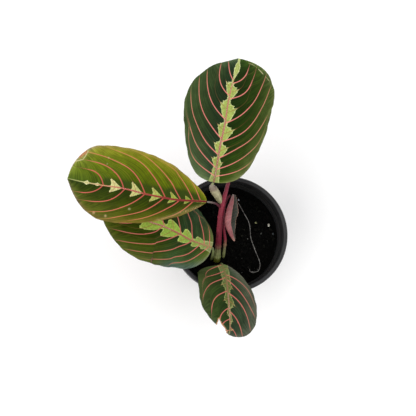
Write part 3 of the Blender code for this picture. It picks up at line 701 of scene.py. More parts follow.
def build_blade(name, leaf, tear=None):
    """Both halves as one sheet, with the midrib shared, thickened and welded at the ends."""
    halves = {1: blade_half(leaf, "left", 1), -1: blade_half(leaf, "right", -1)}
    marks = {sign: np.zeros(half[3].shape + (3,)) for sign, half in halves.items()}
    for brown, pale, deep, radius, line in MARKS[name]:
        rows = [int(round(math.acos(1 - 2 * s / leaf.get("end", 1.0)) / math.pi * (BLADE_ROWS - 1)))
                for s, _ in line]
        path = [halves[1 if v > 0 else -1][0][row, int(round(abs(v) * BLADE_COLUMNS))]
                for row, (_, v) in zip(rows, line)]
        for sign, half in halves.items():
            near = distance_to_line(half[0], path)
            mask = np.clip(1.5 - near / radius, 0, 1)
            marks[sign] = np.maximum(marks[sign], mask[..., None] * (brown, pale, deep))
    if tear:
        for sign, half in halves.items():
            near = distance_to_line(half[0][..., :2], tear + tear[:1])
            marks[sign][..., 0] = np.maximum(marks[sign][..., 0], np.clip(1.6 - near / 0.8, 0, 1) * 0.8)
    meshes = []
    for sign, (points, place, veins, band, strength) in halves.items():
        extra = np.stack([band, strength, np.zeros_like(band)], axis=-1)
        layers = {"leaf_place": place, "leaf_veins": veins, "leaf_extra": extra,
                  "leaf_marks": marks[sign]}
        if sign < 0:
            points, layers = points[:, ::-1], {key: value[:, ::-1] for key, value in layers.items()}
        meshes.append(sheet_mesh(name + "_half", points, layers))
    mesh = weld(join_meshes(name + "_blade", meshes), WELD_DISTANCE)
    if tear:
        tear_sheet(mesh, ragged(tear))
    blade = link(name + "_blade", mesh, [leaf_face(name), leaf_back(name)])
    thicken(blade)
    belongs(blade, [name])


def ragged(outline):
    """The outline with short steps along it, each moved a little."""
    corners = np.array(outline, dtype=float)
    made = []
    for start, end in zip(corners, np.roll(corners, -1, axis=0)):
        count = max(int(np.linalg.norm(end - start) / TEAR_STEP), 1)
        for k in range(count):
            shake = random.uniform(-TEAR_SHAKE, TEAR_SHAKE, 2) if k else 0
            made.append(start + (end - start) * k / count + shake)
    return np.array(made)


def inside_outline(points, outline):
    """Whether each (x, y) point is inside the outline, by counting the sides to its right."""
    inside = np.zeros(len(points), dtype=bool)
    x, y = points.T
    for (ax, ay), (bx, by) in zip(outline, np.roll(outline, -1, axis=0)):
        if ay != by:
            crosses = (ay > y) != (by > y)
            inside ^= crosses & (x < ax + (bx - ax) * (y - ay) / (by - ay))
    return inside


def tear_sheet(mesh, outline):
    """Cuts the open sheet upright along each side of the outline, and takes out what is inside."""
    cage = bmesh.new()
    cage.from_mesh(mesh)
    for start, end in zip(outline, np.roll(outline, -1, axis=0)):
        low, high = np.minimum(start, end) - 1, np.maximum(start, end) + 1
        near = [face for face in cage.faces
                if low[0] < face.calc_center_median().x / MM < high[0]
                and low[1] < face.calc_center_median().y / MM < high[1]]
        geometry = set(near)
        for face in near:
            geometry.update(face.edges, face.verts)
        side = Vector((end[1] - start[1], start[0] - end[0], 0)).normalized()
        bmesh.ops.bisect_plane(cage, geom=list(geometry), dist=1e-7, plane_no=side,
                               plane_co=(start[0] * MM, start[1] * MM, 0))
    faces = list(cage.faces)
    centres = np.array([face.calc_center_median()[:2] for face in faces]) / MM
    gone = [face for face, out in zip(faces, inside_outline(centres, outline)) if out]
    bmesh.ops.delete(cage, geom=gone, context="FACES")
    bmesh.ops.remove_doubles(cage, verts=cage.verts, dist=WELD_DISTANCE)
    cage.to_mesh(mesh)
    cage.free()


def vein_masks(g, half_from, half_to, edge, lateral, station, veins, strength):
    """The veins as a mask, the distance to them in mm, and the midrib as a mask."""
    phase, spacing, _ = veins
    shifted = g.calc("FRACT", g.plus(phase, 0.5))
    distance = g.both(g.size(g.minus(shifted, 0.5)), spacing)
    half = g.fade(edge, 0.0, 0.95, half_from, half_to)
    line = g.fade(g.minus(distance, half), 0.2, -0.18)
    line = g.both(line, strength, g.fade(edge, 0.98, 0.84), g.fade(spacing, 0.8, 2.2))
    rib_half = g.fade(station, 0.0, 1.0, 0.85, 0.32)
    rib = g.fade(g.minus(lateral, rib_half), 0.22, -0.12)
    return line, distance, rib


def leaf_face(name):
    """The upper side: greens, pale lobes along the midrib, pink veins and the marks of age."""
    look = LOOKS[name]
    g = Graph(name + "_face")
    station, across, lateral = g.layer("leaf_place")
    phase, spacing, reach = veins = g.layer("leaf_veins")
    band, strength, _ = g.layer("leaf_extra")
    brown, pale, deep = g.layer("leaf_marks")
    edge = g.size(across)
    share = g.calc("FRACT", phase)
    here = g.here()

    on_left = g.calc("GREATER_THAN", across, 0.0)
    green = g.mix(on_left, g.ramp(edge, look["right"]), g.ramp(edge, look["left"]))
    green = g.tint(green, g.ramp(station, look["length"]))
    # The streaks along the veins are partly the blade's own striping and partly painted sheen between the
    # veins.
    streaks = g.noise(g.join(g.both(phase, 24.0), g.both(edge, 1.1), g.both(station, 0.3)), 1.0, 2.5)
    patches = g.noise(here, 0.11, 2.0)
    fine = g.noise(g.join(g.both(phase, 62.0), g.both(edge, 2.2), g.both(station, 0.5)), 1.0, 2.0)
    shade = g.both(g.fade(streaks, 0.28, 0.72, 0.62, 1.36), g.vary(patches, 0.86, 1.14),
                   g.vary(fine, 0.84, 1.16))
    green = g.tint(green, shade)
    green = g.mix(g.fade(deep, 0.1, 0.9, 0.0, 0.85), green, DEEP_GREEN)

    line, distance, rib = vein_masks(g, 0.42, 0.26, edge, lateral, station, veins, strength)
    # Painted light: beside each vein the green is made lighter and greyer for light on the quilted relief.
    green = g.mix(g.both(g.fade(distance, 1.3, 0.4), strength, 0.35), green,
                  g.tint(green, (1.5, 1.45, 1.6)))

    jag = g.both(g.minus(g.noise(here, 0.85, 4.0, 0.65), 0.5), 2.2)
    reached = g.calc("MAXIMUM", g.both(reach, g.curve(share, LOBE_SHAPES[look["lobe"]])), band)
    depth = g.plus(g.minus(reached, lateral), g.both(jag, g.fade(reached, 0.0, 2.0)))
    lobe = g.fade(depth, -0.12, 0.14)
    mottle = g.vary(g.noise(here, 0.7, 3.0, 0.6), 0.72, 1.15)
    body, border = g.ramp(station, look["lime"]), g.ramp(station, look["cream"])
    lime = g.tint(g.mix(g.fade(depth, 1.1, 0.15, 0.0, 0.8), body, border), mottle)
    colour = g.mix(lobe, green, lime)

    middle = g.both(g.size(g.minus(share, 0.42)), spacing)
    past = g.minus(lateral, reach)
    beyond = g.both(g.fade(past, 18.0, 0.0, 0.0, 0.22), g.fade(reach, 5.8, 7.6))
    twig = g.both(g.fade(middle, 0.36, 0.12), g.fade(reach, 1.0, 4.0),
                  g.plus(g.fade(past, 1.6, -1.2, 0.0, 0.6), beyond))
    colour = g.mix(twig, colour, TWIG)
    colour = g.mix(line, colour, g.ramp(edge, look["vein"]))
    colour = g.mix(rib, colour, g.ramp(station, look["rib"]))

    wear = g.noise(here, 0.8, 3.0, 0.7)
    colour = g.mix(g.both(pale, g.fade(wear, 0.35, 0.55, 0.5, 1.0)), colour, WORN)
    stained = g.fade(g.plus(brown, g.both(wear, 0.7)), 0.75, 1.0)
    colour = g.mix(stained, colour, g.ramp(wear, BROWNS))

    rough = g.plus(g.vary(g.noise(here, 0.35, 3.0), 0.36, 0.47), g.both(lobe, 0.05))
    skin = g.bump(g.noise(here, 2.6, 2.0), 0.00005, g.bump(fine, 0.00007))
    normal = g.bump(line, 0.00010, skin)
    return g.finish(colour, rough, normal, LEAF_GLOSS)


def leaf_back(name):
    """The underside: wine red, with paler veins that stand out from it."""
    g = Graph(name + "_back")
    station, across, lateral = g.layer("leaf_place")
    veins = g.layer("leaf_veins")
    _, strength, _ = g.layer("leaf_extra")
    edge = g.size(across)
    here = g.here()
    streaks = g.noise(g.join(g.both(veins[0], 26.0), g.both(edge, 2.6), station), 1.0, 2.5)
    shade = g.both(g.fade(streaks, 0.25, 0.75, 0.8, 1.2),
                   g.vary(g.noise(here, 0.16, 3.0), 0.8, 1.2))
    colour = g.tint(g.ramp(edge, WINE_BACK), shade)
    line, _, rib = vein_masks(g, 0.55, 0.25, edge, lateral, station, veins, strength)
    colour = g.mix(g.both(line, 0.8), colour, WINE_VEIN)
    colour = g.mix(rib, colour, g.ramp(station, WINE_RIB))
    normal = g.bump(line, 0.00016, g.bump(streaks, 0.00010, g.bump(g.noise(here, 2.2), 0.00005)))
    return g.finish(colour, g.vary(g.noise(here, 0.4), 0.44, 0.58), normal)


# ---------------------------------------------------------------- young leaf

YOUNG_ROWS = 150
YOUNG_COLUMNS = 90
YOUNG_ARC_SHARE = 0.72
YOUNG_TAPER = 0.45
YOUNG_INSET = 0.12
YOUNG_RIBS = 9
YOUNG_FOLD = 0.45
YOUNG_RIB_RUN = 1.4
YOUNG_RIB_SPREAD = 0.5
YOUNG_MARGIN = (0.30, 0.16, 0.11)
# Colours from the foot to the tip of each side, and the colour of its veins.
YOUNG_LOOKS = {
    # The inside is the upper side's dark green, darkened further and greyed as painted shade in the hollow
    # of the roll.
    "inside": ([(0, (0.022, 0.026, 0.016)), (0.5, (0.013, 0.022, 0.010)), (1, (0.030, 0.034, 0.020))],
               (0.10, 0.045, 0.03)),
    "outside": ([(0, (0.19, 0.17, 0.15)), (0.05, (0.20, 0.10, 0.09)), (0.14, (0.20, 0.050, 0.056)),
                 (0.5, (0.28, 0.090, 0.096)), (0.85, (0.20, 0.055, 0.058)), (1, (0.40, 0.22, 0.17))],
                (0.19, 0.045, 0.055)),
}


def build_young_blade():
    """A half-rolled blade: an arc from its upper margin round to a flat lower lip."""
    spine = smooth_path(YOUNG_SPINE, YOUNG_ROWS)
    along = unit(np.gradient(spine, axis=0))
    level = unit(np.cross(along, (0, 0, 1)))
    above = np.cross(level, along)
    station = np.linspace(0, 1, YOUNG_ROWS)[:, None]
    share = np.linspace(0, 1, YOUNG_COLUMNS)[None, :]
    swell = np.maximum(np.sin(math.pi * station), 0) ** 0.8
    radius = (YOUNG_END_RADIUS
              + (YOUNG_RADIUS - YOUNG_END_RADIUS) * swell * (1 - YOUNG_TAPER * station ** 2))
    angle = YOUNG_START + YOUNG_SWEEP * np.minimum(share / YOUNG_ARC_SHARE, 1)
    run = YOUNG_LIP * np.maximum(share - YOUNG_ARC_SHARE, 0) / (1 - YOUNG_ARC_SHARE)
    sideways = np.cos(angle) - run * np.sin(angle)
    upward = np.sin(angle) + run * np.cos(angle)
    rib = YOUNG_RIB_RUN * station + YOUNG_RIB_SPREAD * np.abs(share - YOUNG_FOLD)
    ribs = 0.10 * np.cos(2 * math.pi * YOUNG_RIBS * rib)
    edge_wave = 0.35 * np.sin(17 * station + 2) * (np.abs(share - 0.5) * 2) ** 4
    reach = radius - YOUNG_INSET + (ribs + edge_wave) * swell
    points = (spine[:, None] - level[:, None] * (sideways * reach)[..., None]
              + above[:, None] * (upward * reach)[..., None])
    place = np.stack(np.broadcast_arrays(station, share, radius), axis=-1)
    mesh = sheet_mesh("leaf_young_blade", points, {"young_place": place})
    blade = link("leaf_young_blade", mesh, [young_skin("inside"), young_skin("outside")])
    thicken(blade)
    belongs(blade, ["leaf_young"])


def young_skin(side):
    g = Graph("leaf_young_" + side)
    stops, veins = YOUNG_LOOKS[side]
    station, share, _ = g.layer("young_place")
    fold = g.size(g.minus(share, YOUNG_FOLD))
    rib = g.plus(g.both(station, YOUNG_RIB_RUN * YOUNG_RIBS), g.both(fold, YOUNG_RIB_SPREAD * YOUNG_RIBS))
    wave = g.calc("COSINE", g.both(rib, 2 * math.pi))
    fine = g.noise(g.join(g.both(rib, 5.0), g.both(share, 4.0)), 1.0, 3.0)
    shade = g.both(g.fade(fine, 0.25, 0.75, 0.8, 1.2), g.vary(g.noise(g.here(), 0.3), 0.85, 1.15))
    colour = g.tint(g.ramp(station, stops), shade)
    colour = g.mix(g.both(g.fade(wave, 0.2, 1.0), g.vary(fine, 0.1, 0.55)), colour, veins)
    tan = g.both(g.fade(g.size(g.minus(share, 0.5)), 0.475, 0.497), 0.7)
    colour = g.mix(tan, colour, YOUNG_MARGIN)
    normal = g.bump(wave, 0.00006, g.bump(fine, 0.00008))
    return g.finish(colour, g.vary(fine, 0.42, 0.56), normal)


# ---------------------------------------------------------------- stems and petioles

CAP_RINGS = 7
JOINT_HEIGHT = 0.35
JOINT_WIDTH = 1.1
STALK_GLOSS = 0.22
WINE = (0.190, 0.019, 0.036)
WINE_DARK = (0.105, 0.010, 0.022)
PALE_GREEN = (0.200, 0.230, 0.085)
LEAF_GREEN = (0.22, 0.26, 0.10)
MOSS = (0.085, 0.100, 0.010)
STALK_SPECKS = (0.30, 0.14, 0.12)


def tube_mesh(name, stations, rows, sides, swell):
    """A round-ended tube through (x, y, z, radius) stations; swell(run, turn) adds to the radius.

    The attribute stalk holds the cosine and sine of the turn round the tube and the run along it.
    """
    path = smooth_path(stations, rows * 4)
    run = run_along(path)
    total, first, last = run[-1], path[0, 3], path[-1, 3]
    cap = 1 - np.cos(np.linspace(0, math.pi / 2, CAP_RINGS))
    rings = np.concatenate([first * cap, np.linspace(first, total - last, rows)[1:-1],
                            total - last * cap[::-1]])
    fitted = between_rows(path, run, rings)
    centre, radius = fitted[:, :3], fitted[:, 3:]
    near_end = np.minimum(rings / first, (total - rings) / last)
    dome = np.sqrt(np.maximum(1 - (1 - np.clip(near_end, 0, 1)) ** 2, 0))
    tangent = unit(np.gradient(centre, axis=0))
    side = np.zeros_like(centre)
    side[0] = unit(np.cross(tangent[0], (0.3, 0, 1)))
    for k in range(1, len(side)):
        side[k] = unit(side[k - 1] - tangent[k] * (side[k - 1] @ tangent[k]))
    other = np.cross(side, tangent)
    turn = np.linspace(0, 2 * math.pi, sides, endpoint=False)
    reach = (radius + swell(rings[:, None], turn[None, :])) * dome[:, None]
    points = centre[:, None] + (side[:, None] * (np.cos(turn) * reach)[..., None]
                                + other[:, None] * (np.sin(turn) * reach)[..., None])
    layer = np.stack(np.broadcast_arrays(np.cos(turn)[None], np.sin(turn)[None], rings[:, None]), axis=-1)
    mesh = weld(sheet_mesh(name, points, {"stalk": layer}, closed=True))
    mesh.shade_smooth()
    return mesh


def stalk_skin(name, colour_of, lines, rough=(0.38, 0.52)):
    """Plant skin with fine lengthwise lines; colour_of(g, run) gives its colour."""
    g = Graph(name)
    cosine, sine, run = g.layer("stalk")
    here = g.here()
    grain = g.noise(g.join(g.both(cosine, lines), g.both(sine, lines), g.both(run, 0.06)), 0.5, 3.0)
    shade = g.both(g.vary(grain, 0.72, 1.25), g.vary(g.noise(here, 0.5), 0.85, 1.15))
    colour = g.tint(colour_of(g, run), shade)
    specks = g.fade(g.noise(here, 2.4, 1.0), 0.66, 0.74, 0.0, 0.3)
    colour = g.mix(specks, colour, STALK_SPECKS)
    normal = g.bump(grain, 0.00014, g.bump(g.noise(here, 1.8), 0.00007))
    return g.finish(colour, g.vary(grain, *rough), normal, STALK_GLOSS)


def by_run(stops):
    """A colour ramp along the stalk, with stops at (mm from its foot, colour)."""
    total = stops[-1][0]

    def colour_of(g, run):
        uneven = g.plus(run, g.both(g.minus(g.noise(g.here(), 0.35, 3.0), 0.5), 7.0))
        return g.ramp(g.calc("DIVIDE", uneven, total), [(place / total, colour) for place, colour in stops])
    return colour_of


def stem_form(count, height, bumps, joints=()):
    """Lengthwise ridges, slow lumps, and a swollen ring at each joint, in mm from the foot."""
    def swell(run, turn):
        lump = np.sin(run * 0.23 + 1.3 * np.cos(turn)) * np.cos(run * 0.11 + turn)
        rings = sum(JOINT_HEIGHT * np.exp(-((run - place) / JOINT_WIDTH) ** 2) for place in joints)
        return height * np.cos(count * turn + 0.02 * run) + bumps * lump + rings
    return swell


def sheath_form(run, turn):
    """A boat-shaped sheath: a keel under it, an open seam on top, ribs along it."""
    boat = np.sin(np.clip((run - 2) / 20, 0, 1) * math.pi) ** 0.7
    keel = 0.30 * np.cos(turn - 0.6) ** 4
    seam = -0.75 * np.exp(-((np.mod(turn - 3.6 + math.pi, 2 * math.pi) - math.pi) / 0.30) ** 2)
    return boat * (keel + seam + 0.10 * np.cos(16 * turn)) + 0.05 * np.sin(run * 0.9 + turn)


# Each stalk's slot, (rows, sides), density of its fine lines, form, and colours in mm from its foot.
STALKS = {
    "main_stem": ("stem", (260, 40), 9.0, stem_form(11, 0.05, 0.10, (17, 29, 66, 82)), [
        (0, MOSS), (15, MOSS), (18, PALE_GREEN), (25, (0.17, 0.18, 0.075)), (29, (0.15, 0.07, 0.045)),
        (35, WINE), (60, (0.200, 0.026, 0.042)), (85, WINE), (110, WINE_DARK), (140, WINE)]),
    "second_stem": ("stem", (180, 28), 6.0, stem_form(7, 0.04, 0.06, (28,)), [
        (0, MOSS), (13, PALE_GREEN), (24, (0.15, 0.14, 0.07)), (30, (0.20, 0.10, 0.06)), (36, WINE),
        (80, WINE_DARK)]),
    "petiole_top": ("petiole", (110, 40), 14.0, sheath_form, [
        (0, (0.16, 0.05, 0.05)), (4, (0.25, 0.235, 0.125)), (12, (0.30, 0.28, 0.16)),
        (20, (0.33, 0.30, 0.18)), (23, (0.17, 0.13, 0.095)), (26, (0.22, 0.18, 0.14)), (30, LEAF_GREEN)]),
    "petiole_left_upper": ("petiole", (110, 40), 5.0, stem_form(5, 0.03, 0.04), [
        (0, WINE_DARK), (15, (0.05, 0.012, 0.022)), (21, (0.14, 0.10, 0.09)), (26, (0.15, 0.14, 0.11)),
        (32, (0.12, 0.11, 0.075))]),
    "petiole_left_lower": ("petiole", (110, 40), 5.0, stem_form(6, 0.04, 0.06), [
        (0, MOSS), (20, (0.12, 0.14, 0.05)), (36, LEAF_GREEN), (46, (0.12, 0.15, 0.07))]),
    "petiole_front": ("petiole", (110, 40), 5.0, stem_form(6, 0.04, 0.06), [
        (0, MOSS), (14, (0.16, 0.13, 0.035)), (22, (0.15, 0.15, 0.05)), (29, (0.10, 0.12, 0.05))]),
}


def build_stalks():
    for node, (slot, grid, lines, swell, stops) in STALKS.items():
        body = node + ("_body" if slot == "stem" else "_stalk")
        skin = (node if slot == "stem" else body) + "_skin"
        mesh = tube_mesh(body, STATIONS[node], *grid, swell)
        belongs(link(body, mesh, [stalk_skin(skin, by_run(stops), lines)]), [node])


# ---------------------------------------------------------------- pot

FOOT_RECESS = 0.6
FOOT_WIDTH = 3.4
FOOT_INNER = 5.0
FOOT_FLARE = 0.9
FOOT_HEIGHT = 1.6
COLLAR_TAPER = 0.8
BEVEL = 0.5
# A shallow groove in the top of the rim: where its near edge, floor and far edge are, and its depth.
RIM_GROOVE = (0.5, 1.1, 1.3)
RIM_GROOVE_DEPTH = 0.35
INNER_BEVEL = (0.6, 1.4)
LEDGE_STEP = 0.3
POT_CORNER = 0.45
CORNER_STEPS = 4
DRILL_SIDES = 40
DRILL_LENGTH = 8
POT_SHARP = 35
POT_GLOSS = 0.36
PLASTIC = [(0.3, (0.013, 0.0135, 0.0140)), (0.7, (0.020, 0.0205, 0.0215))]
DUST = (0.036, 0.035, 0.033)
SCUFF = (0.044, 0.045, 0.047)
# Painted shade: nearly black, laid on the inside below the collar and on the ledge.
LEDGE_SHADE = (0.0030, 0.0028, 0.0026)


def rounded(profile):
    """The profile with each inner corner drawn as a short curve."""
    points = [np.array(point, dtype=float) for point in profile]
    made = [points[0]]
    for before, corner, after in zip(points, points[1:], points[2:]):
        start, end = [corner + (other - corner) * min(POT_CORNER / np.linalg.norm(other - corner), 0.45)
                      for other in (before, after)]
        for t in np.linspace(0, 1, CORNER_STEPS + 1):
            made.append((1 - t) ** 2 * start + 2 * t * (1 - t) * corner + t * t * end)
    return np.array(made + [points[-1]])


def inner_wall_radius(height):
    """The pot's inside radius below its ledge."""
    top = COLLAR_RADIUS - WALL - LEDGE_WIDTH
    share = height / (POT_HEIGHT - COLLAR_DEPTH)
    return BASE_RADIUS - WALL + (top - BASE_RADIUS + WALL) * share


def build_pot():
    ledge = POT_HEIGHT - COLLAR_DEPTH
    rim_inside = RIM_RADIUS - RIM_WIDTH
    step_outside = inner_wall_radius(ledge) + WALL
    outside = [
        (0.0, FOOT_RECESS), (BASE_RADIUS - FOOT_INNER, FOOT_RECESS), (BASE_RADIUS - FOOT_WIDTH, 0.0),
        (BASE_RADIUS, 0.0), (BASE_RADIUS + FOOT_FLARE, FOOT_HEIGHT), (step_outside, ledge - WALL),
        (COLLAR_RADIUS - COLLAR_TAPER, ledge - WALL),
        (COLLAR_RADIUS, POT_HEIGHT - RIM_LIP), (RIM_RADIUS - RIM_LIP, POT_HEIGHT - RIM_LIP),
        (RIM_RADIUS - RIM_LIP, POT_HEIGHT - RIM_SKIRT), (RIM_RADIUS, POT_HEIGHT - RIM_SKIRT),
        (RIM_RADIUS, POT_HEIGHT - BEVEL), (RIM_RADIUS - BEVEL, POT_HEIGHT),
    ]
    near, floor, far = [rim_inside + width for width in RIM_GROOVE]
    top = [(far, POT_HEIGHT), (floor, POT_HEIGHT - RIM_GROOVE_DEPTH),
           (near, POT_HEIGHT - RIM_GROOVE_DEPTH), (rim_inside, POT_HEIGHT - BEVEL)]
    inside = [
        (rim_inside - INNER_BEVEL[0], POT_HEIGHT - INNER_BEVEL[1]),
        (COLLAR_RADIUS - COLLAR_TAPER - WALL, ledge + BEVEL),
        (COLLAR_RADIUS - (COLLAR_TAPER + BEVEL) - WALL, ledge),
        (inner_wall_radius(ledge) + LEDGE_STEP, ledge), (inner_wall_radius(ledge), ledge - LEDGE_STEP),
        (inner_wall_radius(BASE_PLATE), BASE_PLATE), (0.0, BASE_PLATE),
    ]
    profile = rounded(outside + top + inside)
    turn = np.linspace(0, 2 * math.pi, POT_SIDES, endpoint=False)
    points = lathe(profile[:, :1], profile[:, 1:], turn)[::-1]
    mesh = weld(sheet_mesh("pot_shell", points, {}, closed=True))
    pot = link("pot_shell", mesh, [pot_plastic()])
    drills = []
    for number in range(DRAIN_HOLES):
        angle = 2 * math.pi * number / DRAIN_HOLES
        cage = bmesh.new()
        bmesh.ops.create_cone(cage, cap_ends=True, segments=DRILL_SIDES, radius1=DRAIN_RADIUS * MM,
                              radius2=DRAIN_RADIUS * MM, depth=DRILL_LENGTH * MM)
        shift = (DRAIN_CIRCLE * MM * math.cos(angle), DRAIN_CIRCLE * MM * math.sin(angle), 0)
        bmesh.ops.translate(cage, verts=cage.verts, vec=shift)
        drills.append(link("drain_drill", mesh_of("drain_drill", cage)))
        cut(pot, drills[-1])
    settle(pot, POT_SHARP)
    for drill in drills:
        bpy.data.objects.remove(drill)
    belongs(pot, ["pot"])


def pot_plastic():
    """Satin black plastic with mould rings, scuffs, dust, and painted shade below its collar and on its
    inner ledge.
    """
    g = Graph("pot_plastic_black")
    here = g.here()
    grain = g.noise(here, 1.6, 4.0, 0.6)
    cloud = g.noise(here, 0.06, 4.0, 0.6)
    scuffs = g.fade(g.noise(g.here((0.10, 0.10, 2.2)), 1.0, 4.0, 0.7), 0.60, 0.75)
    dust = g.fade(g.noise(here, 0.35, 5.0, 0.7), 0.55, 0.80, 0.0, 0.45)
    colour = g.ramp(cloud, PLASTIC)
    colour = g.mix(dust, colour, DUST)
    colour = g.mix(g.both(scuffs, 0.5), colour, SCUFF)
    x, y, z = g.node("SeparateXYZ", {"Vector": here}).outputs[:]
    radius = g.calc("SQRT", g.plus(g.both(x, x), g.both(y, y)))
    rings = g.calc("SINE", g.both(g.plus(radius, g.both(z, 0.6)), 5.0))
    # Painted shade: the inside below the collar and the ledge are painted nearly black and made rougher.
    ledge_shade = g.both(g.fade(z, 80.5, 77.0), g.fade(z, 74.8, 75.2), g.fade(radius, 49.4, 48.8))
    colour = g.mix(ledge_shade, colour, LEDGE_SHADE)
    rough = g.plus(g.vary(cloud, 0.36, 0.48), g.both(g.calc("MAXIMUM", dust, ledge_shade), 0.45))
    normal = g.bump(rings, 0.00001, g.bump(grain, 0.00005))
    return g.finish(colour, rough, normal, POT_GLOSS)


# ---------------------------------------------------------------- soil and litter

SOIL_RINGS = 150
SOIL_SIDES = 420
CRUMBS = 1500
CRUMB_KINDS = 9
SPECKS = 46
SCATTER_MARGIN = 2.0
SOIL_EDGE_FADE = 1.5
SOIL_WALL_ROWS = 40
SOIL_FLOOR_ROWS = 14
STALK_MOUND = 0.9
CRUMB_SIZES = (0.45, 2.3)
SPECK_SIZES = (0.25, 0.75)
CRUMB_LIFT = 0.25
GRAIN_FILL = 0.92
# Knots of the dry fibre: mm along it, how far each swells, and its width.
FIBRE_KNOTS = [(72.5, 0.55, 0.9), (41, 0.16, 0.8)]
FIBRE_COLOURS = [(0.3, (0.10, 0.095, 0.09)), (0.7, (0.26, 0.25, 0.235))]
SOIL_GLOSS = 0.05
CRUMB_GLOSS = 0.06
# The feet of the stalks, as (x, y, radius): the soil rises round them and crumbs keep off them.
FEET = [(-10, -21, 4.2), (-4, -18, 2.6), (-14.8, -20.6, 2.6), (-6.6, -26.6, 2.6)]


def soil_height(x, y):
    """Low lumps of the soil's surface, in millimetres above its level."""
    return 0.5 * np.sin(0.31 * x + 1.1) * np.cos(0.27 * y) + 0.35 * np.sin(0.5 * y - 0.2 * x)


def crumbly(x, y):
    """The height in mm of the soil's rough surface over its level."""
    flat = np.stack([x.ravel(), y.ravel(), np.zeros(x.size)], axis=1)
    coarse, medium, fine = [lumps(flat, scale, seed).reshape(x.shape)
                            for scale, seed in ((0.23, 3), (0.62, 9), (1.7, 15))]
    return soil_height(x, y) + 0.55 * coarse + 0.65 * np.abs(medium) + 0.30 * np.abs(fine) - 0.35


def build_soil():
    foot = BASE_PLATE + GAP
    edge = inner_wall_radius(SOIL_LEVEL) - GAP
    low_edge = inner_wall_radius(foot) - GAP
    turn = np.linspace(0, 2 * math.pi, SOIL_SIDES, endpoint=False)
    radius = edge * np.linspace(0, 1, SOIL_RINGS)[:, None] ** 0.85
    x, y = radius * np.cos(turn), radius * np.sin(turn)
    lift = crumbly(x, y) * np.clip((edge - radius) / SOIL_EDGE_FADE, 0, 1)
    for foot_x, foot_y, reach in FEET:
        lift += STALK_MOUND * np.exp(-((np.hypot(x - foot_x, y - foot_y) / reach) ** 2))
    top = np.stack([x, y, SOIL_LEVEL + lift], axis=-1)
    wall_heights = np.linspace(SOIL_LEVEL - 1, foot, SOIL_WALL_ROWS)[:, None]
    wall_radius = low_edge + (edge - low_edge) * (wall_heights - foot) / (SOIL_LEVEL - foot)
    floor_radius = low_edge * np.linspace(0.9, 0, SOIL_FLOOR_ROWS)[:, None]
    points = np.concatenate([top, lathe(wall_radius, wall_heights, turn), lathe(floor_radius, foot, turn)])
    mesh = weld(sheet_mesh("soil_body", points, {}, closed=True))
    mesh.shade_smooth()
    belongs(link("soil_body", mesh, [soil_skin()]), ["soil"])


def soil_skin():
    g = Graph("potting_mix_dark")
    here = g.here()
    broad = g.noise(here, 0.22, 5.0, 0.65)
    grain = g.noise(here, 1.5, 4.0, 0.7)
    crumbs = g.cells(here, 0.9)
    # The soil is near black: partly its own dark colour, partly painted shade for the inside of the pot.
    colour = g.ramp(broad, [(0.3, (0.0006, 0.0006, 0.0005)), (0.55, (0.0014, 0.0013, 0.0011)),
                            (0.75, (0.0034, 0.0030, 0.0024))])
    fibres = g.fade(g.noise(g.here((1.0, 0.25, 1.0)), 1.3, 3.0, 0.6, 1.5), 0.64, 0.74, 0.0, 0.5)
    colour = g.mix(fibres, colour, (0.012, 0.010, 0.007))
    grit = g.fade(g.noise(here, 1.1, 1.0), 0.70, 0.76, 0.0, 0.5)
    colour = g.mix(grit, colour, (0.045, 0.044, 0.042))
    height = g.plus(g.both(grain, 0.7), g.both(crumbs, -0.6))
    return g.finish(colour, g.vary(grain, 0.85, 1.0), g.bump(height, 0.0006), SOIL_GLOSS)


def crumb_mesh(kind, detail, squash, roughness):
    """One irregular lump about 1 unit in radius, as (points, faces)."""
    cage = bmesh.new()
    bmesh.ops.create_icosphere(cage, subdivisions=detail, radius=1.0)
    shift = Vector((7.3 * kind, -4.1 * kind, 2.9 * kind))
    for vertex in cage.verts:
        swell = 1 + roughness * noise.noise(vertex.co * 1.1 + shift)
        swell += 0.45 * roughness * noise.noise(vertex.co * 2.7 - shift)
        vertex.co = Vector(a * b * swell for a, b in zip(vertex.co, squash))
    cage.verts.index_update()
    points = np.array([vertex.co for vertex in cage.verts])
    faces = np.array([[vertex.index for vertex in face.verts] for face in cage.faces])
    cage.free()
    return points, faces


def any_turn():
    """A random rotation, as a 3 by 3 array."""
    spin = Matrix.Rotation(random.uniform(0, 2 * math.pi), 3, "Z")
    tip = Matrix.Rotation(random.uniform(-0.7, 0.7), 3, "X")
    return np.array(spin @ tip @ Matrix.Rotation(random.uniform(0, 2 * math.pi), 3, "Z"))


def scatter(name, count, kinds, sizes, skin):
    """Many lumps laid on the soil as one piece."""
    edge = inner_wall_radius(SOIL_LEVEL) - SCATTER_MARGIN
    points, faces, total = [], [], 0
    while len(points) < count:
        spot = random.uniform(-edge, edge, 2)
        size = sizes[0] + (sizes[1] - sizes[0]) * random.random() ** 3
        blocked = any(np.hypot(spot[0] - x, spot[1] - y) < reach + size for x, y, reach in FEET)
        if np.hypot(*spot) > edge - size or blocked:
            continue
        shape, sides = kinds[random.integers(len(kinds))]
        height = SOIL_LEVEL + crumbly(spot[:1], spot[1:])[0] + size * CRUMB_LIFT
        points.append(shape @ any_turn().T * size + (spot[0], spot[1], height))
        faces.append(sides + total)
        total += len(shape)
    mesh = mesh_from(name, np.concatenate(points), np.concatenate(faces))
    mesh.shade_smooth()
    belongs(link(name, mesh, [skin]), [])


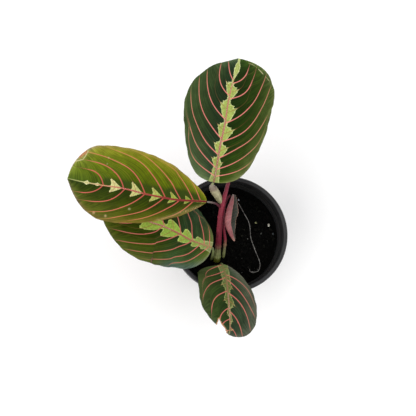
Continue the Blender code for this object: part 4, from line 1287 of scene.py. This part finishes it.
def bark_skin():
    g = Graph("soil_crumb_skin")
    here = g.here()
    tone = g.noise(here, 0.35, 2.0)
    grain = g.noise(here, 2.2, 4.0, 0.7)
    # The crumbs are near black: partly their own dark colour, partly painted shade for the inside of the
    # pot.
    colour = g.ramp(tone, [(0.3, (0.0007, 0.0007, 0.0006)), (0.52, (0.0018, 0.0017, 0.0014)),
                           (0.66, (0.0050, 0.0048, 0.0038)), (0.76, (0.020, 0.020, 0.014))])
    colour = g.tint(colour, g.vary(grain, 0.6, 1.4))
    return g.finish(colour, g.vary(grain, 0.8, 0.98), g.bump(grain, 0.0004), CRUMB_GLOSS)


def stone_skin(name, light, dark):
    g = Graph(name)
    here = g.here()
    pores = g.cells(here, 1.9)
    grain = g.noise(here, 2.4, 4.0, 0.7)
    colour = g.ramp(g.noise(here, 0.8), [(0.35, dark), (0.65, light)])
    colour = g.mix(g.fade(pores, 0.18, 0.05, 0.0, 0.6), colour, dark)
    height = g.plus(g.both(grain, 0.5), g.both(g.fade(pores, 0.3, 0.0), -0.8))
    return g.finish(colour, g.vary(grain, 0.75, 0.95), g.bump(height, 0.00035))


def build_litter():
    lumps_of_soil = [crumb_mesh(kind, 2, (1, 0.5 + 0.09 * (kind % 5), 0.42 + 0.06 * (kind % 4)), 0.9)
                     for kind in range(CRUMB_KINDS)]
    scatter("soil_crumbs", CRUMBS, lumps_of_soil, CRUMB_SIZES, bark_skin())
    grit = [crumb_mesh(20 + kind, 2, (1, 0.8, 0.7), 0.6) for kind in range(4)]
    scatter("soil_grit", SPECKS, grit, SPECK_SIZES,
            stone_skin("grit_skin", (0.16, 0.16, 0.15), (0.05, 0.05, 0.045)))

    for number, (x, y, radius) in enumerate(GRAINS, start=1):
        points, faces = crumb_mesh(40 + number, 4, (1, 0.86, 0.8), 0.5)
        points *= radius * GRAIN_FILL / np.abs(points).max()
        place = (x, y, SOIL_LEVEL + soil_height(x, y) + radius + 2 * GAP)
        mesh = mesh_from(f"perlite_grain_{number}", points @ any_turn().T + place, faces)
        mesh.shade_smooth()
        light = GRAIN_COLOURS[number - 1]
        skin = stone_skin(f"perlite_skin_{number}", light, tuple(0.5 * value for value in light))
        belongs(link(mesh.name, mesh, [skin]), [f"perlite_{number}"])

    stations = [(x, y, z, FIBRE_RADIUS) for x, y, z in DRY_FIBRE]
    skin = stalk_skin("dry_fibre_skin", lambda g, run: g.ramp(g.noise(g.here(), 0.25), FIBRE_COLOURS),
                      3.0, (0.7, 0.9))

    def knotted(run, turn):
        knots = sum(swell * np.exp(-((run - place) / width) ** 2) for place, swell, width in FIBRE_KNOTS)
        return knots + 0.05 * np.sin(run * 1.7) + 0.03 * np.cos(3 * turn + run * 0.4)
    mesh = tube_mesh("dry_fibre_strand", stations, 340, 12, knotted)
    belongs(link("dry_fibre_strand", mesh, [skin]), ["dry_fibre"])


# ---------------------------------------------------------------- floor, light and camera

FLOOR_SIZE = 60000.0
# Each lamp's name, where it shines from, W/m2, how wide it looks in degrees, and colour.
LAMPS = [
    ("key", (-1.35, -0.75, 1.25), 1.9, 60, (1.0, 0.99, 0.97)),
    ("fill_right", (1.5, -0.4, 1.0), 1.3, 85, (0.98, 0.99, 1.0)),
    ("fill_back", (-0.2, 1.6, 1.0), 1.15, 85, (1.0, 1.0, 1.0)),
]
WORLD_LIGHT = 0.55
WORLD_SEEN = 1.0
CAMERA_PLACE = (-0.09404, -0.1054, 0.87607)
CAMERA_RIGHT = (0.99556, 0, 0.09411)
CAMERA_UP = (-0.01514, 0.98697, 0.16019)
CAMERA_FORWARD = (0.09288, 0.16091, -0.98259)
LENS = 77.0
SENSOR = 36.0


def build_stage():
    cage = bmesh.new()
    bmesh.ops.create_grid(cage, x_segments=8, y_segments=8, size=FLOOR_SIZE * MM / 2)
    g = Graph("floor_paper")
    soft = g.noise(g.here(), 0.004, 2.0)
    tones = g.ramp(soft, [(0.3, (0.92, 0.92, 0.92)), (0.7, (0.935, 0.935, 0.935))])
    link("floor", mesh_of("floor", cage), [g.finish(tones, 0.9, gloss=0.0)])

    for name, place, power, width, colour in LAMPS:
        lamp = bpy.data.lights.new(name, "SUN")
        lamp.angle = math.radians(width)
        lamp.energy = power
        lamp.color = colour
        link(name, lamp).rotation_euler = Vector(place).to_track_quat("Z", "Y").to_euler()

    world = bpy.data.worlds.new("studio")
    world.use_nodes = True
    nodes, links = world.node_tree.nodes, world.node_tree.links
    seen = nodes.new("ShaderNodeLightPath")
    back = nodes["Background"]
    mix = nodes.new("ShaderNodeMix")
    mix.data_type = "FLOAT"
    mix.inputs[2].default_value = WORLD_LIGHT
    mix.inputs[3].default_value = WORLD_SEEN
    links.new(seen.outputs["Is Camera Ray"], mix.inputs[0])
    links.new(mix.outputs[0], back.inputs["Strength"])
    back.inputs["Color"].default_value = (1, 1, 1, 1)
    bpy.context.scene.world = world
    bpy.context.scene.view_settings.view_transform = "Standard"

    camera = bpy.data.cameras.new("camera")
    camera.lens = LENS
    camera.sensor_width = SENSOR
    holder = link("camera", camera)
    columns = [Vector(CAMERA_RIGHT), Vector(CAMERA_UP), -Vector(CAMERA_FORWARD), Vector(CAMERA_PLACE)]
    holder.matrix_world = Matrix([[column[row] for column in columns] for row in range(3)]
                                 + [[0, 0, 0, 1]])
    bpy.context.scene.camera = holder


build_pot()
build_soil()
build_litter()
build_stalks()
for leaf_name, leaf in BLADES.items():
    build_blade(leaf_name, leaf, TEAR_OUTLINE if leaf_name == "leaf_front" else None)
build_young_blade()
build_stage()
